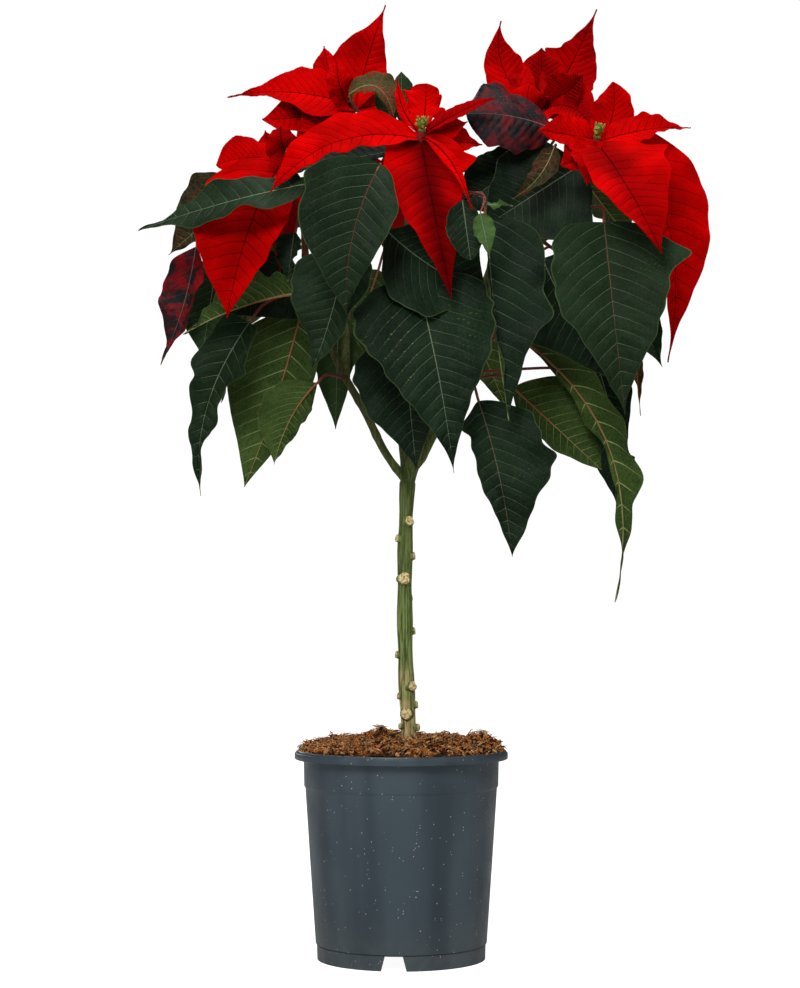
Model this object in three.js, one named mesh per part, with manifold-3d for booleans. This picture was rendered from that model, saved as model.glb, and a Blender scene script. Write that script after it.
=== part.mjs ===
// A poinsettia trained as a small tree on one bare stem, standing in its nursery pot.
// Millimetres, +Z up. The viewer's side is -Y. The origin is the middle of the ground under the plant.
import * as THREE from "three";
import { mergeVertices } from "three/addons/utils/BufferGeometryUtils.js";
import Module from "manifold-3d";

// ---- driving dimensions ----
const GAP = 0.3; // clearance between pieces that touch
const POT_X = -20; // the pot stands off the middle, because the crown leans to +X and +Y
const POT_Y = -14;
const POT_HEIGHT = 165;
const RIM_RADIUS = 85;
const RIM_HEIGHT = 7;
const BODY_TOP_RADIUS = 78;
const STEP_RADIUS = 76;
const STEP_DROP = 28; // the shallow step lies this far under the rim
const BODY_FOOT_RADIUS = 68;
const SKIRT_RADIUS = 66.8;
const SKIRT_HEIGHT = 12;
const POT_WALL = 1.8;
const POT_SIDES = 24; // the pot and the soil in it share their flats, so that they stay clear of each other
const NOTCH_COUNT = 3;
const NOTCH_TOP = 14;
const NOTCH_FOOT = 20;
const NOTCH_TURN = -0.09; // radians by which the first notch stands off the front
const DRAIN_RADIUS = 5;
const DRAIN_CIRCLE = 48; // radius of the circle that the drain holes stand on
const SOIL_TOP = 172;
const SOIL_MOUND = 5;
const SOIL_LUMP = 3.4;
const STEM_FOOT = 96; // the stem's lower end, deep in the soil
const TRUNK_RADIUS = 6.2;
const BRANCH_STEPS = 6; // straight lengths that a branch is bent from
const BLADE = 0.75; // thickness of a leaf or bract
const LEAF_STALK = 1.5;
const CORE_LENGTH = 16; // red end of a flowering shoot, from which the bracts spring

const V = (x, y, z) => new THREE.Vector3(x, y, z);
const UP = V(0, 0, 1);

// ---- solids ----
const wasm = await Module();
wasm.setup();

function solid(geometry) {
  const bare = geometry.index ? geometry.clone() : geometry;
  bare.deleteAttribute("normal");
  bare.deleteAttribute("uv");
  const merged = mergeVertices(bare, 1e-4);
  const triVerts = new Uint32Array(merged.index.array);
  const vertProperties = new Float32Array(merged.attributes.position.array);
  return new wasm.Manifold(new wasm.Mesh({ numProp: 3, vertProperties, triVerts }));
}

function largest(body) {
  return body.decompose().reduce((a, b) => (b.volume() > a.volume() ? b : a));
}

function join(bodies) {
  return bodies.reduce((a, b) => a.add(b));
}

function geometryOf(body) {
  const { vertProperties, triVerts, numProp } = body.getMesh();
  const count = vertProperties.length / numProp;
  const position = new Float32Array(count * 3);
  for (let i = 0; i < count; i++) {
    position.set(vertProperties.subarray(i * numProp, i * numProp + 3), i * 3);
  }
  const geometry = new THREE.BufferGeometry();
  geometry.setAttribute("position", new THREE.BufferAttribute(position, 3));
  geometry.setIndex(new THREE.BufferAttribute(triVerts, 1));
  geometry.computeVertexNormals();
  return geometry;
}

const plant = new THREE.Group();
plant.position.set(POT_X, POT_Y, 0);

function piece(name, body, color, roughness) {
  const material = new THREE.MeshStandardMaterial({ color, roughness, metalness: 0 });
  const mesh = new THREE.Mesh(geometryOf(body), material);
  mesh.name = name;
  plant.add(mesh);
}

// A closed cylinder bent along a curve, with its radius given along the way.
function bentCylinder(curve, radius, sides, steps) {
  const geometry = new THREE.CylinderGeometry(1, 1, 1, sides, steps);
  const frames = curve.computeFrenetFrames(steps, false);
  const position = geometry.attributes.position;
  for (let i = 0; i < position.count; i++) {
    const step = Math.round((position.getY(i) + 0.5) * steps);
    const r = radius(step / steps);
    const across = frames.normals[step].clone().multiplyScalar(position.getZ(i) * r);
    const beside = frames.binormals[step].clone().multiplyScalar(position.getX(i) * r);
    const point = curve.getPointAt(step / steps).add(across).add(beside);
    position.setXYZ(i, point.x, point.y, point.z);
  }
  return solid(geometry);
}

// ---- pot: moulded shell with a rolled rim, a shallow step and a set-in foot skirt ----
function potShell() {
  const inner = BODY_FOOT_RADIUS - POT_WALL;
  const profile = [
    [0, SKIRT_HEIGHT],
    [SKIRT_RADIUS - POT_WALL, SKIRT_HEIGHT],
    [SKIRT_RADIUS - POT_WALL, 0],
    [SKIRT_RADIUS, 0],
    [BODY_FOOT_RADIUS, SKIRT_HEIGHT],
    [STEP_RADIUS, POT_HEIGHT - RIM_HEIGHT - STEP_DROP],
    [BODY_TOP_RADIUS - 0.4, POT_HEIGHT - RIM_HEIGHT - STEP_DROP + 1.5],
    [BODY_TOP_RADIUS, POT_HEIGHT - RIM_HEIGHT],
    [RIM_RADIUS, POT_HEIGHT - RIM_HEIGHT + 0.6],
    [RIM_RADIUS, POT_HEIGHT - 1.5],
    [RIM_RADIUS - 1.5, POT_HEIGHT],
    [BODY_TOP_RADIUS + 0.5, POT_HEIGHT],
    [BODY_TOP_RADIUS - POT_WALL, POT_HEIGHT - 2],
    [STEP_RADIUS - POT_WALL, POT_HEIGHT - RIM_HEIGHT - STEP_DROP],
    [inner, SKIRT_HEIGHT + POT_WALL],
    [0, SKIRT_HEIGHT + POT_WALL],
  ].map(([r, z]) => new THREE.Vector2(r, z));
  return solid(new THREE.LatheGeometry(profile, POT_SIDES).rotateX(Math.PI / 2));
}

function notch(angle) {
  const outline = new THREE.Shape([
    new THREE.Vector2(-NOTCH_FOOT / 2, -2),
    new THREE.Vector2(NOTCH_FOOT / 2, -2),
    new THREE.Vector2(NOTCH_TOP / 2, SKIRT_HEIGHT - 0.6),
    new THREE.Vector2(-NOTCH_TOP / 2, SKIRT_HEIGHT - 0.6),
  ]);
  const block = new THREE.ExtrudeGeometry(outline, { depth: 20, bevelEnabled: false });
  block.rotateX(Math.PI / 2);
  block.translate(0, -SKIRT_RADIUS + 10, 0);
  return solid(block.rotateZ(angle));
}

function drainHole(angle) {
  const hole = new THREE.CylinderGeometry(DRAIN_RADIUS, DRAIN_RADIUS, 10, 12).rotateX(Math.PI / 2);
  return solid(hole.translate(0, -DRAIN_CIRCLE, SKIRT_HEIGHT).rotateZ(angle));
}

let pot = potShell();
for (let i = 0; i < NOTCH_COUNT; i++) {
  const angle = (i * 2 * Math.PI) / NOTCH_COUNT + NOTCH_TURN;
  pot = pot.subtract(notch(angle)).subtract(drainHole(angle));
}
piece("pot", pot, 0x3c464e, 0.45);

// ---- stem: trunk, branches, leaf scars and pruned stubs, all grown as one ----
// Each flowering shoot: the middle of its flower cups, and the way it points.
const shoots = {
  left: [V(-92, -21, 639), V(-0.4, -0.35, 0.85).normalize()],
  back_left: [V(-42, 26, 691), V(-0.1, -0.4, 0.9).normalize()],
  centre: [V(16, -58, 651), V(0.1, -0.5, 0.85).normalize()],
  right: [V(154, -46, 648), V(0.2, -0.45, 0.87).normalize()],
  back_right: [V(116, 21, 685), V(0.05, 0.05, 0.99).normalize()],
  back: [V(6, 112, 645), V(0, 0.6, 0.8)],
};

// A branch ends just under its shoot's red core, and comes to it straight.
function shootFoot(name) {
  const [centre, axis] = shoots[name];
  return [14, GAP].map((under) => centre.clone().addScaledVector(axis, -CORE_LENGTH - under));
}

const FORK = V(5, 0, 378);
const branches = {
  trunk: [V(4, 0, STEM_FOOT), V(6, 0, 172), V(3.4, 0, 236), V(3, 0, 316), V(4.3, 0, 364), FORK],
  left: [
    FORK, V(-13, -4, 403), V(-29, -8, 435), V(-45, -10, 463), V(-57, -10, 489), V(-75, -8, 545),
    ...shootFoot("left"),
  ],
  backLeft: [
    V(-45, -10, 463), V(-44, 18, 510), V(-38, 36, 571), V(-37, 44, 624), ...shootFoot("back_left"),
  ],
  centre: [
    FORK, V(14, -8, 415), V(16, -13, 470), V(14, -16, 540), V(12, -26, 584), ...shootFoot("centre"),
  ],
  right: [
    V(7, -1, 387), V(15, 1, 397), V(27, 5, 420), V(66, 10, 490), V(106, 3, 568), V(134, -14, 590),
    ...shootFoot("right"),
  ],
  backRight: [
    V(27, 5, 418), V(48, 39, 481), V(79, 57, 572), V(102, 38, 625), ...shootFoot("back_right"),
  ],
  back: [V(5, 0, 380), V(2, 18, 404), V(-2, 52, 461), V(2, 80, 543), V(5, 88, 590), ...shootFoot("back")],
};
const curves = Object.fromEntries(
  Object.entries(branches).map(([name, points]) => [name, new THREE.CatmullRomCurve3(points)]),
);
const branchRadii = {
  trunk: [6.4, 5.6],
  left: [3.5, 2.9],
  backLeft: [3.6, 3],
  centre: [5.7, 3.2],
  right: [3.9, 3.2],
  backRight: [3.8, 3],
  back: [3.7, 3],
};

// A scar is a low round boss on the trunk's side: [height, angle round the trunk, radius, how far out].
const trunkScars = [
  [347, 0.45, 3.6, 1.4],
  [333, -1.3, 3, 1.6],
  [319, 1.4, 3, 1.8],
  [301, -0.1, 4.6, 1.4],
  [259, 1.5, 2.8, 2],
  [240, -1.4, 2.8, 1.8],
  [215, 0.7, 3.8, 2],
  [207, -1.4, 2.6, 1.6],
  [200, 1.4, 2.8, 2],
  [193, -0.2, 4.2, 1.2],
  [183, -1.2, 2.4, 1.8],
  [182, 1.3, 2.8, 2.8],
  [286, 2.7, 3.6, 1.6],
  [230, 3.3, 3.6, 1.6],
];

function trunkPoint(height) {
  const points = branches.trunk;
  const above = points.findIndex((p) => p.z >= height);
  const low = points[above - 1];
  const high = points[above];
  return low.clone().lerp(high, (height - low.z) / (high.z - low.z));
}

function scar([height, angle, radius, proud]) {
  const reach = TRUNK_RADIUS + proud;
  const boss = new THREE.CylinderGeometry(radius, radius * 1.15, reach, 5);
  boss.translate(0, reach / 2, 0).rotateX(Math.PI);
  const middle = trunkPoint(height);
  return solid(boss.rotateZ(angle).translate(middle.x, middle.y, height));
}

// The trunk is a little uneven and swells where it forks.
function trunkSwell(s) {
  return 0.35 * Math.sin(s * 34) + 0.4 * Math.exp(-((s - 0.99) ** 2) / 0.0012);
}

function stemBody(grow) {
  const tubes = Object.entries(curves).map(([name, curve]) => {
    const [low, high] = branchRadii[name];
    const taper = (s) => low + (high - low) * s + grow;
    return name === "trunk"
      ? bentCylinder(curve, (s) => taper(s) + trunkSwell(s), 8, 10)
      : bentCylinder(curve, taper, 6, BRANCH_STEPS);
  });
  return join([...tubes, ...trunkScars.map(scar)]);
}
const stem = stemBody(0);
const stemRoom = stemBody(GAP);
piece("stem", stem, 0x7c8a52, 0.7);

// ---- soil: coir and peat, mounded and lumpy, with a plain hole for the stem ----
function soilLump(angle, reach) {
  const broad = Math.sin(5 * angle + 9 * reach) + Math.sin(11 * angle - 7 * reach + 1);
  const waves = broad + Math.sin(17 * angle + 4);
  return (SOIL_LUMP / 3) * waves * Math.min(1, 4 * reach) * (reach < 0.999 ? 1 : 0.3);
}

function soilBody() {
  const rings = 4;
  const floor = SKIRT_HEIGHT + POT_WALL + GAP;
  const foot = BODY_FOOT_RADIUS - POT_WALL - GAP * 1.5;
  const waist = STEP_RADIUS - POT_WALL - GAP * 1.5;
  const mouth = BODY_TOP_RADIUS - POT_WALL - GAP * 2;
  const profile = [new THREE.Vector2(0, floor), new THREE.Vector2(foot, floor)];
  profile.push(new THREE.Vector2(waist, POT_HEIGHT - RIM_HEIGHT - STEP_DROP));
  for (let i = 0; i <= rings; i++) {
    const reach = 1 - i / rings;
    profile.push(new THREE.Vector2(mouth * reach, SOIL_TOP + SOIL_MOUND * (1 - reach ** 2)));
  }
  const geometry = new THREE.LatheGeometry(profile, POT_SIDES).rotateX(Math.PI / 2);
  const position = geometry.attributes.position;
  const step = (2 * Math.PI) / POT_SIDES;
  for (let i = 0; i < position.count; i++) {
    const [x, y, z] = [position.getX(i), position.getY(i), position.getZ(i)];
    if (z >= SOIL_TOP - 1) {
      const angle = Math.round(Math.atan2(y, x) / step) * step;
      position.setZ(i, z + soilLump(angle, Math.hypot(x, y) / mouth));
    }
  }
  return solid(geometry);
}
piece("soil", soilBody().subtract(stemRoom), 0x6e3c1c, 1);

// ---- blades: the one shape behind every leaf and bract ----
// u runs from the base to the tip and v from edge to edge, -1 to 1. Looking at the upper face with the
// tip hanging down, v = 1 is on the right.
const BROAD = 33; // half-width in mm from which a blade has two flats each side of its midrib
const BROAD_ACROSS = [-1, -0.5, 0, 0.5, 1];
const BROAD_STATIONS = [0, 0.09, 0.22, 0.38, 0.56, 0.78, 1];
const PLAIN_ACROSS = [-1, 0, 1];
const PLAIN_STATIONS = [0, 0.12, 0.3, 0.52, 0.76, 1];
const NARROW = 15; // half-width in mm under which a blade, or one told to be plain, has fewest stations
const NARROW_STATIONS = [0, 0.16, 0.42, 0.7, 1];

function outline(u, v, spec) {
  const peak = spec.peak ?? 0.33;
  const power = spec.power ?? 2.4;
  const [rise, fall] = [power * peak, power * (1 - peak)];
  const highest = peak ** rise * (1 - peak) ** fall;
  const width = v < 0 ? spec.wide[0] : spec.wide[1];
  let half = (width * u ** rise * (1 - u) ** fall) / highest;
  for (const [at, side, height] of spec.teeth ?? []) {
    if (side * v > 0) {
      const before = THREE.MathUtils.smoothstep(u, at - 0.13, at);
      const after = 1 - THREE.MathUtils.smoothstep(u, at, at + 0.07);
      half += height * before ** 2 * after;
    }
  }
  return Math.max(half, spec.thin ?? 0.9);
}

function bladePoint(u, v, spec, lift) {
  const along = 4 * u * (1 - u);
  const slope = 4 * (1 - 2 * u);
  const bow = spec.bow ?? V(0, 0, 0);
  const middle = spec.base.clone().lerp(spec.tip, u).addScaledVector(bow, along);
  const tangent = spec.tip.clone().sub(spec.base).addScaledVector(bow, slope).normalize();
  const face = spec.face.clone().lerp(spec.faceTip ?? spec.face, u);
  const normal = face.addScaledVector(tangent, -face.dot(tangent)).normalize();
  const side = normal.clone().cross(tangent);
  const half = outline(u, v, spec);
  const fold = spec.fold ?? 0.2;
  const cup = spec.cup ?? 0.15;
  const reach = Math.abs(v);
  const turn = fold + cup * reach;
  const flat = (Math.sin(turn) - Math.sin(fold)) / cup;
  const rise = (Math.cos(fold) - Math.cos(turn)) / cup;
  const [size, count, phase] = spec.wave ?? [2.5, 1.6, 0.4];
  const wave = Math.sin(2 * Math.PI * count * u + phase + (v > 0 ? 1.3 : 0));
  const ripple = size * reach * reach * wave * Math.sqrt(along);
  const roll = Math.sign(v) * turn;
  const outward = normal.clone().multiplyScalar(Math.cos(roll)).addScaledVector(side, -Math.sin(roll));
  return middle
    .addScaledVector(side, half * flat * Math.sign(v))
    .addScaledVector(normal, half * rise + ripple)
    .addScaledVector(outward, lift);
}

function bladeSolid(spec, swell = 0) {
  const widest = Math.max(...spec.wide);
  const narrow = widest < NARROW || spec.plain;
  const broad = widest >= BROAD && !narrow;
  const across = broad ? BROAD_ACROSS : PLAIN_ACROSS;
  const stations = broad ? BROAD_STATIONS : PLAIN_STATIONS;
  const rows = [...(narrow ? NARROW_STATIONS : stations)];
  for (const [at] of spec.teeth ?? []) {
    rows.push(at, at + 0.06);
  }
  rows.sort((a, b) => a - b);
  const us = rows.filter((u, i) => i === 0 || u - rows[i - 1] > 0.025);
  const columns = across.length;
  const points = [];
  for (const lift of [-BLADE / 2 - swell, BLADE / 2 + swell]) {
    for (const u of us) {
      for (const v of across) {
        points.push(bladePoint(u, v, spec, lift));
      }
    }
  }
  const upper = us.length * columns;
  const faces = [];
  const wall = (a, b) => faces.push(a, b, b + upper, a, b + upper, a + upper);
  for (let i = 0; i < us.length - 1; i++) {
    for (let j = 0; j < columns - 1; j++) {
      const a = i * columns + j;
      const b = a + 1;
      const c = b + columns;
      const d = a + columns;
      faces.push(a, b, c, a, c, d);
      faces.push(a + upper, c + upper, b + upper, a + upper, d + upper, c + upper);
    }
    wall(i * columns, (i + 1) * columns);
    wall((i + 2) * columns - 1, (i + 1) * columns - 1);
  }
  const last = (us.length - 1) * columns;
  for (let j = 0; j < columns - 1; j++) {
    wall(j + 1, j);
    wall(last + j, last + j + 1);
  }
  const geometry = new THREE.BufferGeometry().setFromPoints(points);
  geometry.setIndex(faces);
  return solid(geometry);
}

// The middle of a branch's straight lengths, a share of the way up it.
function branchPoint(name, share) {
  const step = Math.min(BRANCH_STEPS - 1, Math.floor(share * BRANCH_STEPS));
  const [low, high] = [step, step + 1].map((k) => curves[name].getPointAt(k / BRANCH_STEPS));
  return low.lerp(high, share * BRANCH_STEPS - step);
}

// A leaf's stalk leaves the middle of the branch, hangs a little and runs on under the blade as its midrib.
function stalk(root, spec) {
  const start = bladePoint(0, 0, spec, -BLADE);
  const inside = bladePoint(0.1, 0, spec, -BLADE / 2);
  const lead = start.clone().sub(inside).normalize();
  const bend = start.clone().addScaledVector(lead, root.distanceTo(start) * 0.25);
  if (spec.via) {
    bend.copy(spec.via);
  }
  const curve = new THREE.CatmullRomCurve3([root, bend, start, inside]);
  return bentCylinder(curve, (s) => LEAF_STALK * (1 - 0.35 * s), 3, 3);
}

function leaf(name, branch, at, spec, color, ...sisters) {
  const root = branchPoint(branch, at);
  const bodies = [spec, ...sisters].map((one) => bladeSolid(one).add(stalk(root, one)));
  piece(name, largest(join(bodies).subtract(stemRoom)), color, 0.5);
}

const GREEN = 0x2c4030;
const LIGHT = 0x4f6a3c;
const MOTTLED = 0x5c2a2c;
const BRONZE = 0x5a3a24;

leaf("leaf_left_long", "left", 0.78, {
  base: V(-74, -93, 603), tip: V(-202, -88, 568), wide: [19, 21], face: V(0, -0.8, 0.6), bow: V(0, 0, 3),
  fold: 0.1, peak: 0.3, power: 1.6, wave: [5, 1.7, 2.5],
}, GREEN);
leaf("leaf_front_left", "centre", 0.86, {
  base: V(-16, -114, 615), tip: V(-41, -122, 499), wide: [47, 28], face: V(0.1, -0.95, 0.25),
  bow: V(-8, -13, 0), peak: 0.33, power: 2.2, fold: 0.18, teeth: [[0.27, -1, 4]], via: V(-16, -72, 613),
}, GREEN);
leaf("leaf_left_teal", "left", 0.5, {
  base: V(-43, -83, 555), tip: V(-71, -91, 453), wide: [38, 31], face: V(-0.3, -0.9, 0.3), bow: V(4, -8, 0),
  peak: 0.28, power: 2.6, fold: 0.3, wave: [4, 2, 1],
}, GREEN);
leaf("leaf_centre_shade", "centre", 0.7, {
  base: V(-12, -75, 571), tip: V(37, -91, 522), wide: [40, 25], face: V(0, -0.95, 0.3), bow: V(-4, -5, -4),
  peak: 0.42, fold: 0.1, plain: true,
}, GREEN);
leaf("leaf_front_large", "centre", 0.5, {
  base: V(12, -78, 531), tip: V(40, -101, 381), wide: [56, 47], face: V(0, -0.97, 0.2), bow: V(2, -18, 0),
  peak: 0.24, power: 2.2, fold: 0.15, wave: [3.5, 2.4, 1],
}, GREEN);
leaf("leaf_centre_low", "centre", 0.34, {
  base: V(1, -47, 491), tip: V(12, -57, 384), wide: [43, 32], face: V(-0.1, -0.97, 0.2), bow: V(0, -8, 0),
  peak: 0.32, plain: true,
}, GREEN);
leaf("leaf_left_edge", "left", 0.62, {
  base: V(-77, -60, 524), tip: V(-168, -81, 489), wide: [24, 24], face: V(0, 0.3, 0.95), bow: V(0, 0, 6),
  fold: 0.75,
}, LIGHT);
leaf("leaf_left_droop", "left", 0.66, {
  base: V(-119, -47, 502), tip: V(-155, -68, 365), wide: [18, 13], face: V(-0.2, -0.95, 0.2),
  bow: V(-14, -5, 0), peak: 0.16, power: 1.7, fold: 0.3, wave: [4, 2.6, 1],
  teeth: [[0.3, -1, 8], [0.3, 1, 13], [0.56, 1, 4]],
}, GREEN);
leaf("leaf_left_under", "left", 0.56, {
  base: V(-80, -18, 514), tip: V(-123, -44, 373), wide: [24, 46], face: V(0, 0.95, 0.3), bow: V(3, 0, 0),
  peak: 0.32, power: 1.7,
}, LIGHT);
leaf("leaf_left_inner", "left", 0.36, {
  base: V(-66, -34, 456), tip: V(-99, -57, 390), wide: [11, 29], face: V(0.2, 0.93, 0.3), bow: V(-4, 0, 4),
  peak: 0.42,
}, LIGHT);
leaf("leaf_left_behind", "left", 0.66, {
  base: V(-51, 18, 523), tip: V(-53, 8, 422), wide: [28, 22], face: V(0, -0.95, 0.2), peak: 0.36, power: 2,
  plain: true,
}, GREEN);
leaf("leaf_left_mottled", "left", 0.9, {
  base: V(-162, -39, 563), tip: V(-188, -52, 468), wide: [22, 15], face: V(-0.5, -0.85, 0.2),
  bow: V(4, 0, 0), wave: [4, 2.2, 0],
}, MOTTLED);
leaf("leaf_left_olive", "left", 0.84, {
  base: V(-147, -16, 556), tip: V(-158, -29, 474), wide: [22, 20], face: V(-0.2, -0.95, 0.2), plain: true,
}, GREEN);
leaf("leaf_left_vein", "left", 0.7, {
  base: V(-84, -2, 553), tip: V(-138, -2, 512), wide: [30, 25], face: V(0, -0.9, 0.4), plain: true,
}, GREEN);
leaf("leaf_left_bronze", "left", 0.95, {
  base: V(-126, -4, 616), tip: V(-187, -8, 561), wide: [36, 20], face: V(-0.2, -0.95, 0.2), plain: true,
}, BRONZE);
leaf("leaf_right_large", "right", 0.84, {
  base: V(157, -73, 577), tip: V(170, -101, 426), wide: [48, 49], face: V(0, -0.97, 0.2), bow: V(-2, -16, 0),
  peak: 0.28, power: 2.1, teeth: [[0.24, 1, 14]],
}, GREEN);
leaf("leaf_right_folded", "centre", 0.78, {
  base: V(65, -86, 579), tip: V(82, -99, 421), wide: [6, 43], face: V(0.55, -0.83, 0), bow: V(-2, -5, 0),
  peak: 0.26, power: 1.7, fold: 0.55, teeth: [[0.33, 1, 5], [0.53, 1, 6]],
}, GREEN);
leaf("leaf_centre_small", "centre", 0.84, {
  base: V(46, -120, 586), tip: V(52, -126, 540), wide: [16, 13], face: V(0, -0.98, 0.1), peak: 0.5,
  power: 1.4, via: V(55, -84, 582),
}, GREEN);
leaf("leaf_right_shade", "right", 0.97, {
  base: V(142, -27, 630), tip: V(82, -39, 576), wide: [44, 32], face: V(0, -0.95, 0.3), peak: 0.4,
  power: 1.9, plain: true,
}, GREEN);
leaf("leaf_right_dark", "right", 0.8, {
  base: V(106, 0, 640), tip: V(47, -10, 601), wide: [27, 26], face: V(0, -0.9, 0.4), peak: 0.45, power: 1.7,
  plain: true,
}, GREEN);
leaf("leaf_right_mid", "right", 0.66, {
  base: V(111, -44, 553), tip: V(166, -57, 455), wide: [39, 31], face: V(0, -0.95, 0.3), bow: V(-4, 0, 0),
  power: 1.8, plain: true,
}, GREEN);
leaf("leaf_right_trailing", "right", 0.4, {
  base: V(96, -21, 491), tip: V(164, -75, 283), wide: [27, 6], face: V(-0.4, 0.9, 0.1), bow: V(32, -10, 14),
  peak: 0.34, power: 2.8, wave: [4, 2.6, 1], teeth: [[0.62, -1, 5]],
}, LIGHT);
leaf("leaf_right_under", "right", 0.28, {
  base: V(89, -24, 453), tip: V(158, -34, 387), wide: [36, 17], face: V(0, 0.95, 0.3), peak: 0.4, power: 1.8,
}, LIGHT);
leaf("leaf_right_low", "right", 0.2, {
  base: V(60, -65, 439), tip: V(85, -81, 318), wide: [17, 42], face: V(0, -0.97, 0.2), bow: V(3, -8, 0),
  peak: 0.36, power: 2.1, wave: [3.5, 3, 1], teeth: [[0.14, -1, 9], [0.44, 1, 4]],
}, GREEN);
leaf("leaf_right_behind", "backRight", 0.3, {
  base: V(152, 13, 500), tip: V(182, 0, 391), wide: [23, 22], face: V(0, -0.95, 0.2), plain: true,
}, GREEN);
leaf("leaf_right_far", "right", 0.76, {
  base: V(182, -13, 530), tip: V(208, -18, 470), wide: [20, 16], face: V(0, -0.95, 0.2), plain: true,
}, GREEN);
leaf("leaf_right_curled", "right", 0.72, {
  base: V(186, 5, 500), tip: V(192, -5, 432), wide: [6, 6], face: V(0.3, -0.9, 0), bow: V(0, 0, 6),
}, BRONZE);
leaf("leaf_top_small", "backLeft", 0.85, {
  base: V(-3, -3, 682), tip: V(-17, 5, 712), wide: [7, 7], face: V(0, -0.95, 0.3), peak: 0.5,
  via: V(-20, 18, 672), plain: true,
}, LIGHT, {
  base: V(-1, -5, 680), tip: V(0, 3, 712), wide: [8, 6], face: V(0, -0.95, 0.3), peak: 0.6,
  via: V(-20, 17, 671), plain: true,
});
leaf("young_shoot", "centre", 0.88, {
  base: V(59, -134, 574), tip: V(66, -140, 539), wide: [8, 9], face: V(0, -0.95, 0.3), via: V(63, -106, 592),
  plain: true,
}, LIGHT, {
  base: V(62, -114, 584), tip: V(84, -122, 582), wide: [3, 3], face: V(0, -0.8, 0.6), via: V(62, -98, 592),
  plain: true,
});
leaf("leaf_top_bronze", "backLeft", 0.9, {
  base: V(-42, -12, 690), tip: V(-6, -24, 670), wide: [15, 15], face: V(0.2, -0.75, 0.6), bow: V(4, 0, 15),
  peak: 0.45, power: 1.8, via: V(-26, 8, 664),
}, BRONZE);
leaf("leaf_left_top", "centre", 0.92, {
  base: V(-8, -50, 637), tip: V(-90, -56, 620), wide: [32, 26], face: V(0, -0.6, 0.8), plain: true,
}, GREEN);
leaf("leaf_left_rolled", "left", 0.74, {
  base: V(-83, -66, 570), tip: V(-88, -73, 531), wide: [14, 13], face: V(-0.5, -0.85, 0), fold: 0.5,
  plain: true,
}, GREEN);

// ---- leaves of the far side, and the last half-coloured ones under the blooms ----
leaf("leaf_back_left", "back", 0.6, {
  base: V(-20, 140, 570), tip: V(-53, 172, 474), wide: [32, 32], face: V(-0.2, 0.95, 0.3), plain: true,
}, GREEN);
leaf("leaf_back_right", "back", 0.7, {
  base: V(41, 146, 570), tip: V(94, 166, 448), wide: [34, 34], face: V(0.3, 0.95, 0.3), plain: true,
}, GREEN);
leaf("leaf_back_low", "back", 0.42, {
  base: V(10, 120, 503), tip: V(14, 151, 397), wide: [34, 34], face: V(0, 0.98, 0.2), plain: true,
}, GREEN);
leaf("leaf_back_far_left", "backLeft", 0.5, {
  base: V(-93, 96, 594), tip: V(-155, 112, 483), wide: [34, 34], face: V(-0.75, 0.6, 0.3), plain: true,
}, GREEN);
leaf("leaf_back_far_right", "backRight", 0.5, {
  base: V(142, 94, 594), tip: V(190, 108, 478), wide: [34, 34], face: V(0.75, 0.6, 0.3), plain: true,
}, GREEN);
leaf("leaf_back_upper_left", "backLeft", 0.75, {
  base: V(-67, 112, 645), tip: V(-118, 152, 591), wide: [26, 26], face: V(-0.5, 0.6, 0.6), plain: true,
}, GREEN);
leaf("leaf_back_upper_right", "backRight", 0.8, {
  base: V(152, 92, 644), tip: V(202, 126, 587), wide: [26, 26], face: V(0.5, 0.6, 0.6), plain: true,
}, GREEN);
leaf("leaf_side_left", "left", 0.6, {
  base: V(-112, 26, 566), tip: V(-148, 40, 446), wide: [34, 34], face: V(-0.95, 0.1, 0.3), plain: true,
}, GREEN);
leaf("leaf_side_right", "backRight", 0.42, {
  base: V(132, 34, 556), tip: V(170, 44, 436), wide: [34, 34], face: V(0.95, 0.1, 0.3), plain: true,
}, GREEN);
leaf("leaf_right_low_behind", "backRight", 0.22, {
  base: V(161, 44, 441), tip: V(181, 34, 350), wide: [14, 14], face: V(0.2, -0.95, 0.1), plain: true,
  teeth: [[0.5, 1, 8]],
}, GREEN);
leaf("leaf_right_mottled", "backRight", 0.93, {
  base: V(125, -20, 659), tip: V(51, -43, 668), wide: [50, 31], face: V(-0.1, -0.85, 0.5), bow: V(0, -8, 3),
  fold: -0.05, cup: -0.5, peak: 0.56, power: 1.5, via: V(120, 3, 651),
}, MOTTLED, {
  base: V(120, -56, 640), tip: V(86, -62, 597), wide: [6, 7], face: V(-0.3, -0.9, 0.2), bow: V(4, 0, -4),
  via: V(122, -20, 646), plain: true,
});

// ---- blooms: red bracts round the end of each flowering shoot, with little flower cups in the middle ----
const FRONT = V(0, -0.95, 0.3);
const UPWARD = V(0, -0.7, 0.7);
const BACKWARD = V(0, 0.6, 0.8);
const PLAIN_BRACT = 21; // half-width in mm under which a bract is plain
const BRACT_STALK = 1.3; // half-width of a bract where it springs from the shoot

function bractSpec(core, [tip, wide, face, more]) {
  const lean = tip.clone().sub(core);
  const flat = lean.clone().addScaledVector(UP, -lean.dot(UP)).normalize();
  const steep = Math.max(0, lean.normalize().z) ** 2;
  const bow = flat.clone().multiplyScalar(12 * steep).add(more?.bow ?? V(0, 0, 0));
  const base = core.clone().addScaledVector(flat, 1 + 2 * steep);
  const plain = face === BACKWARD || Math.max(...wide) < PLAIN_BRACT;
  return { base, tip, wide, face, thin: BRACT_STALK, peak: 0.42, plain, ...more, bow };
}

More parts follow.
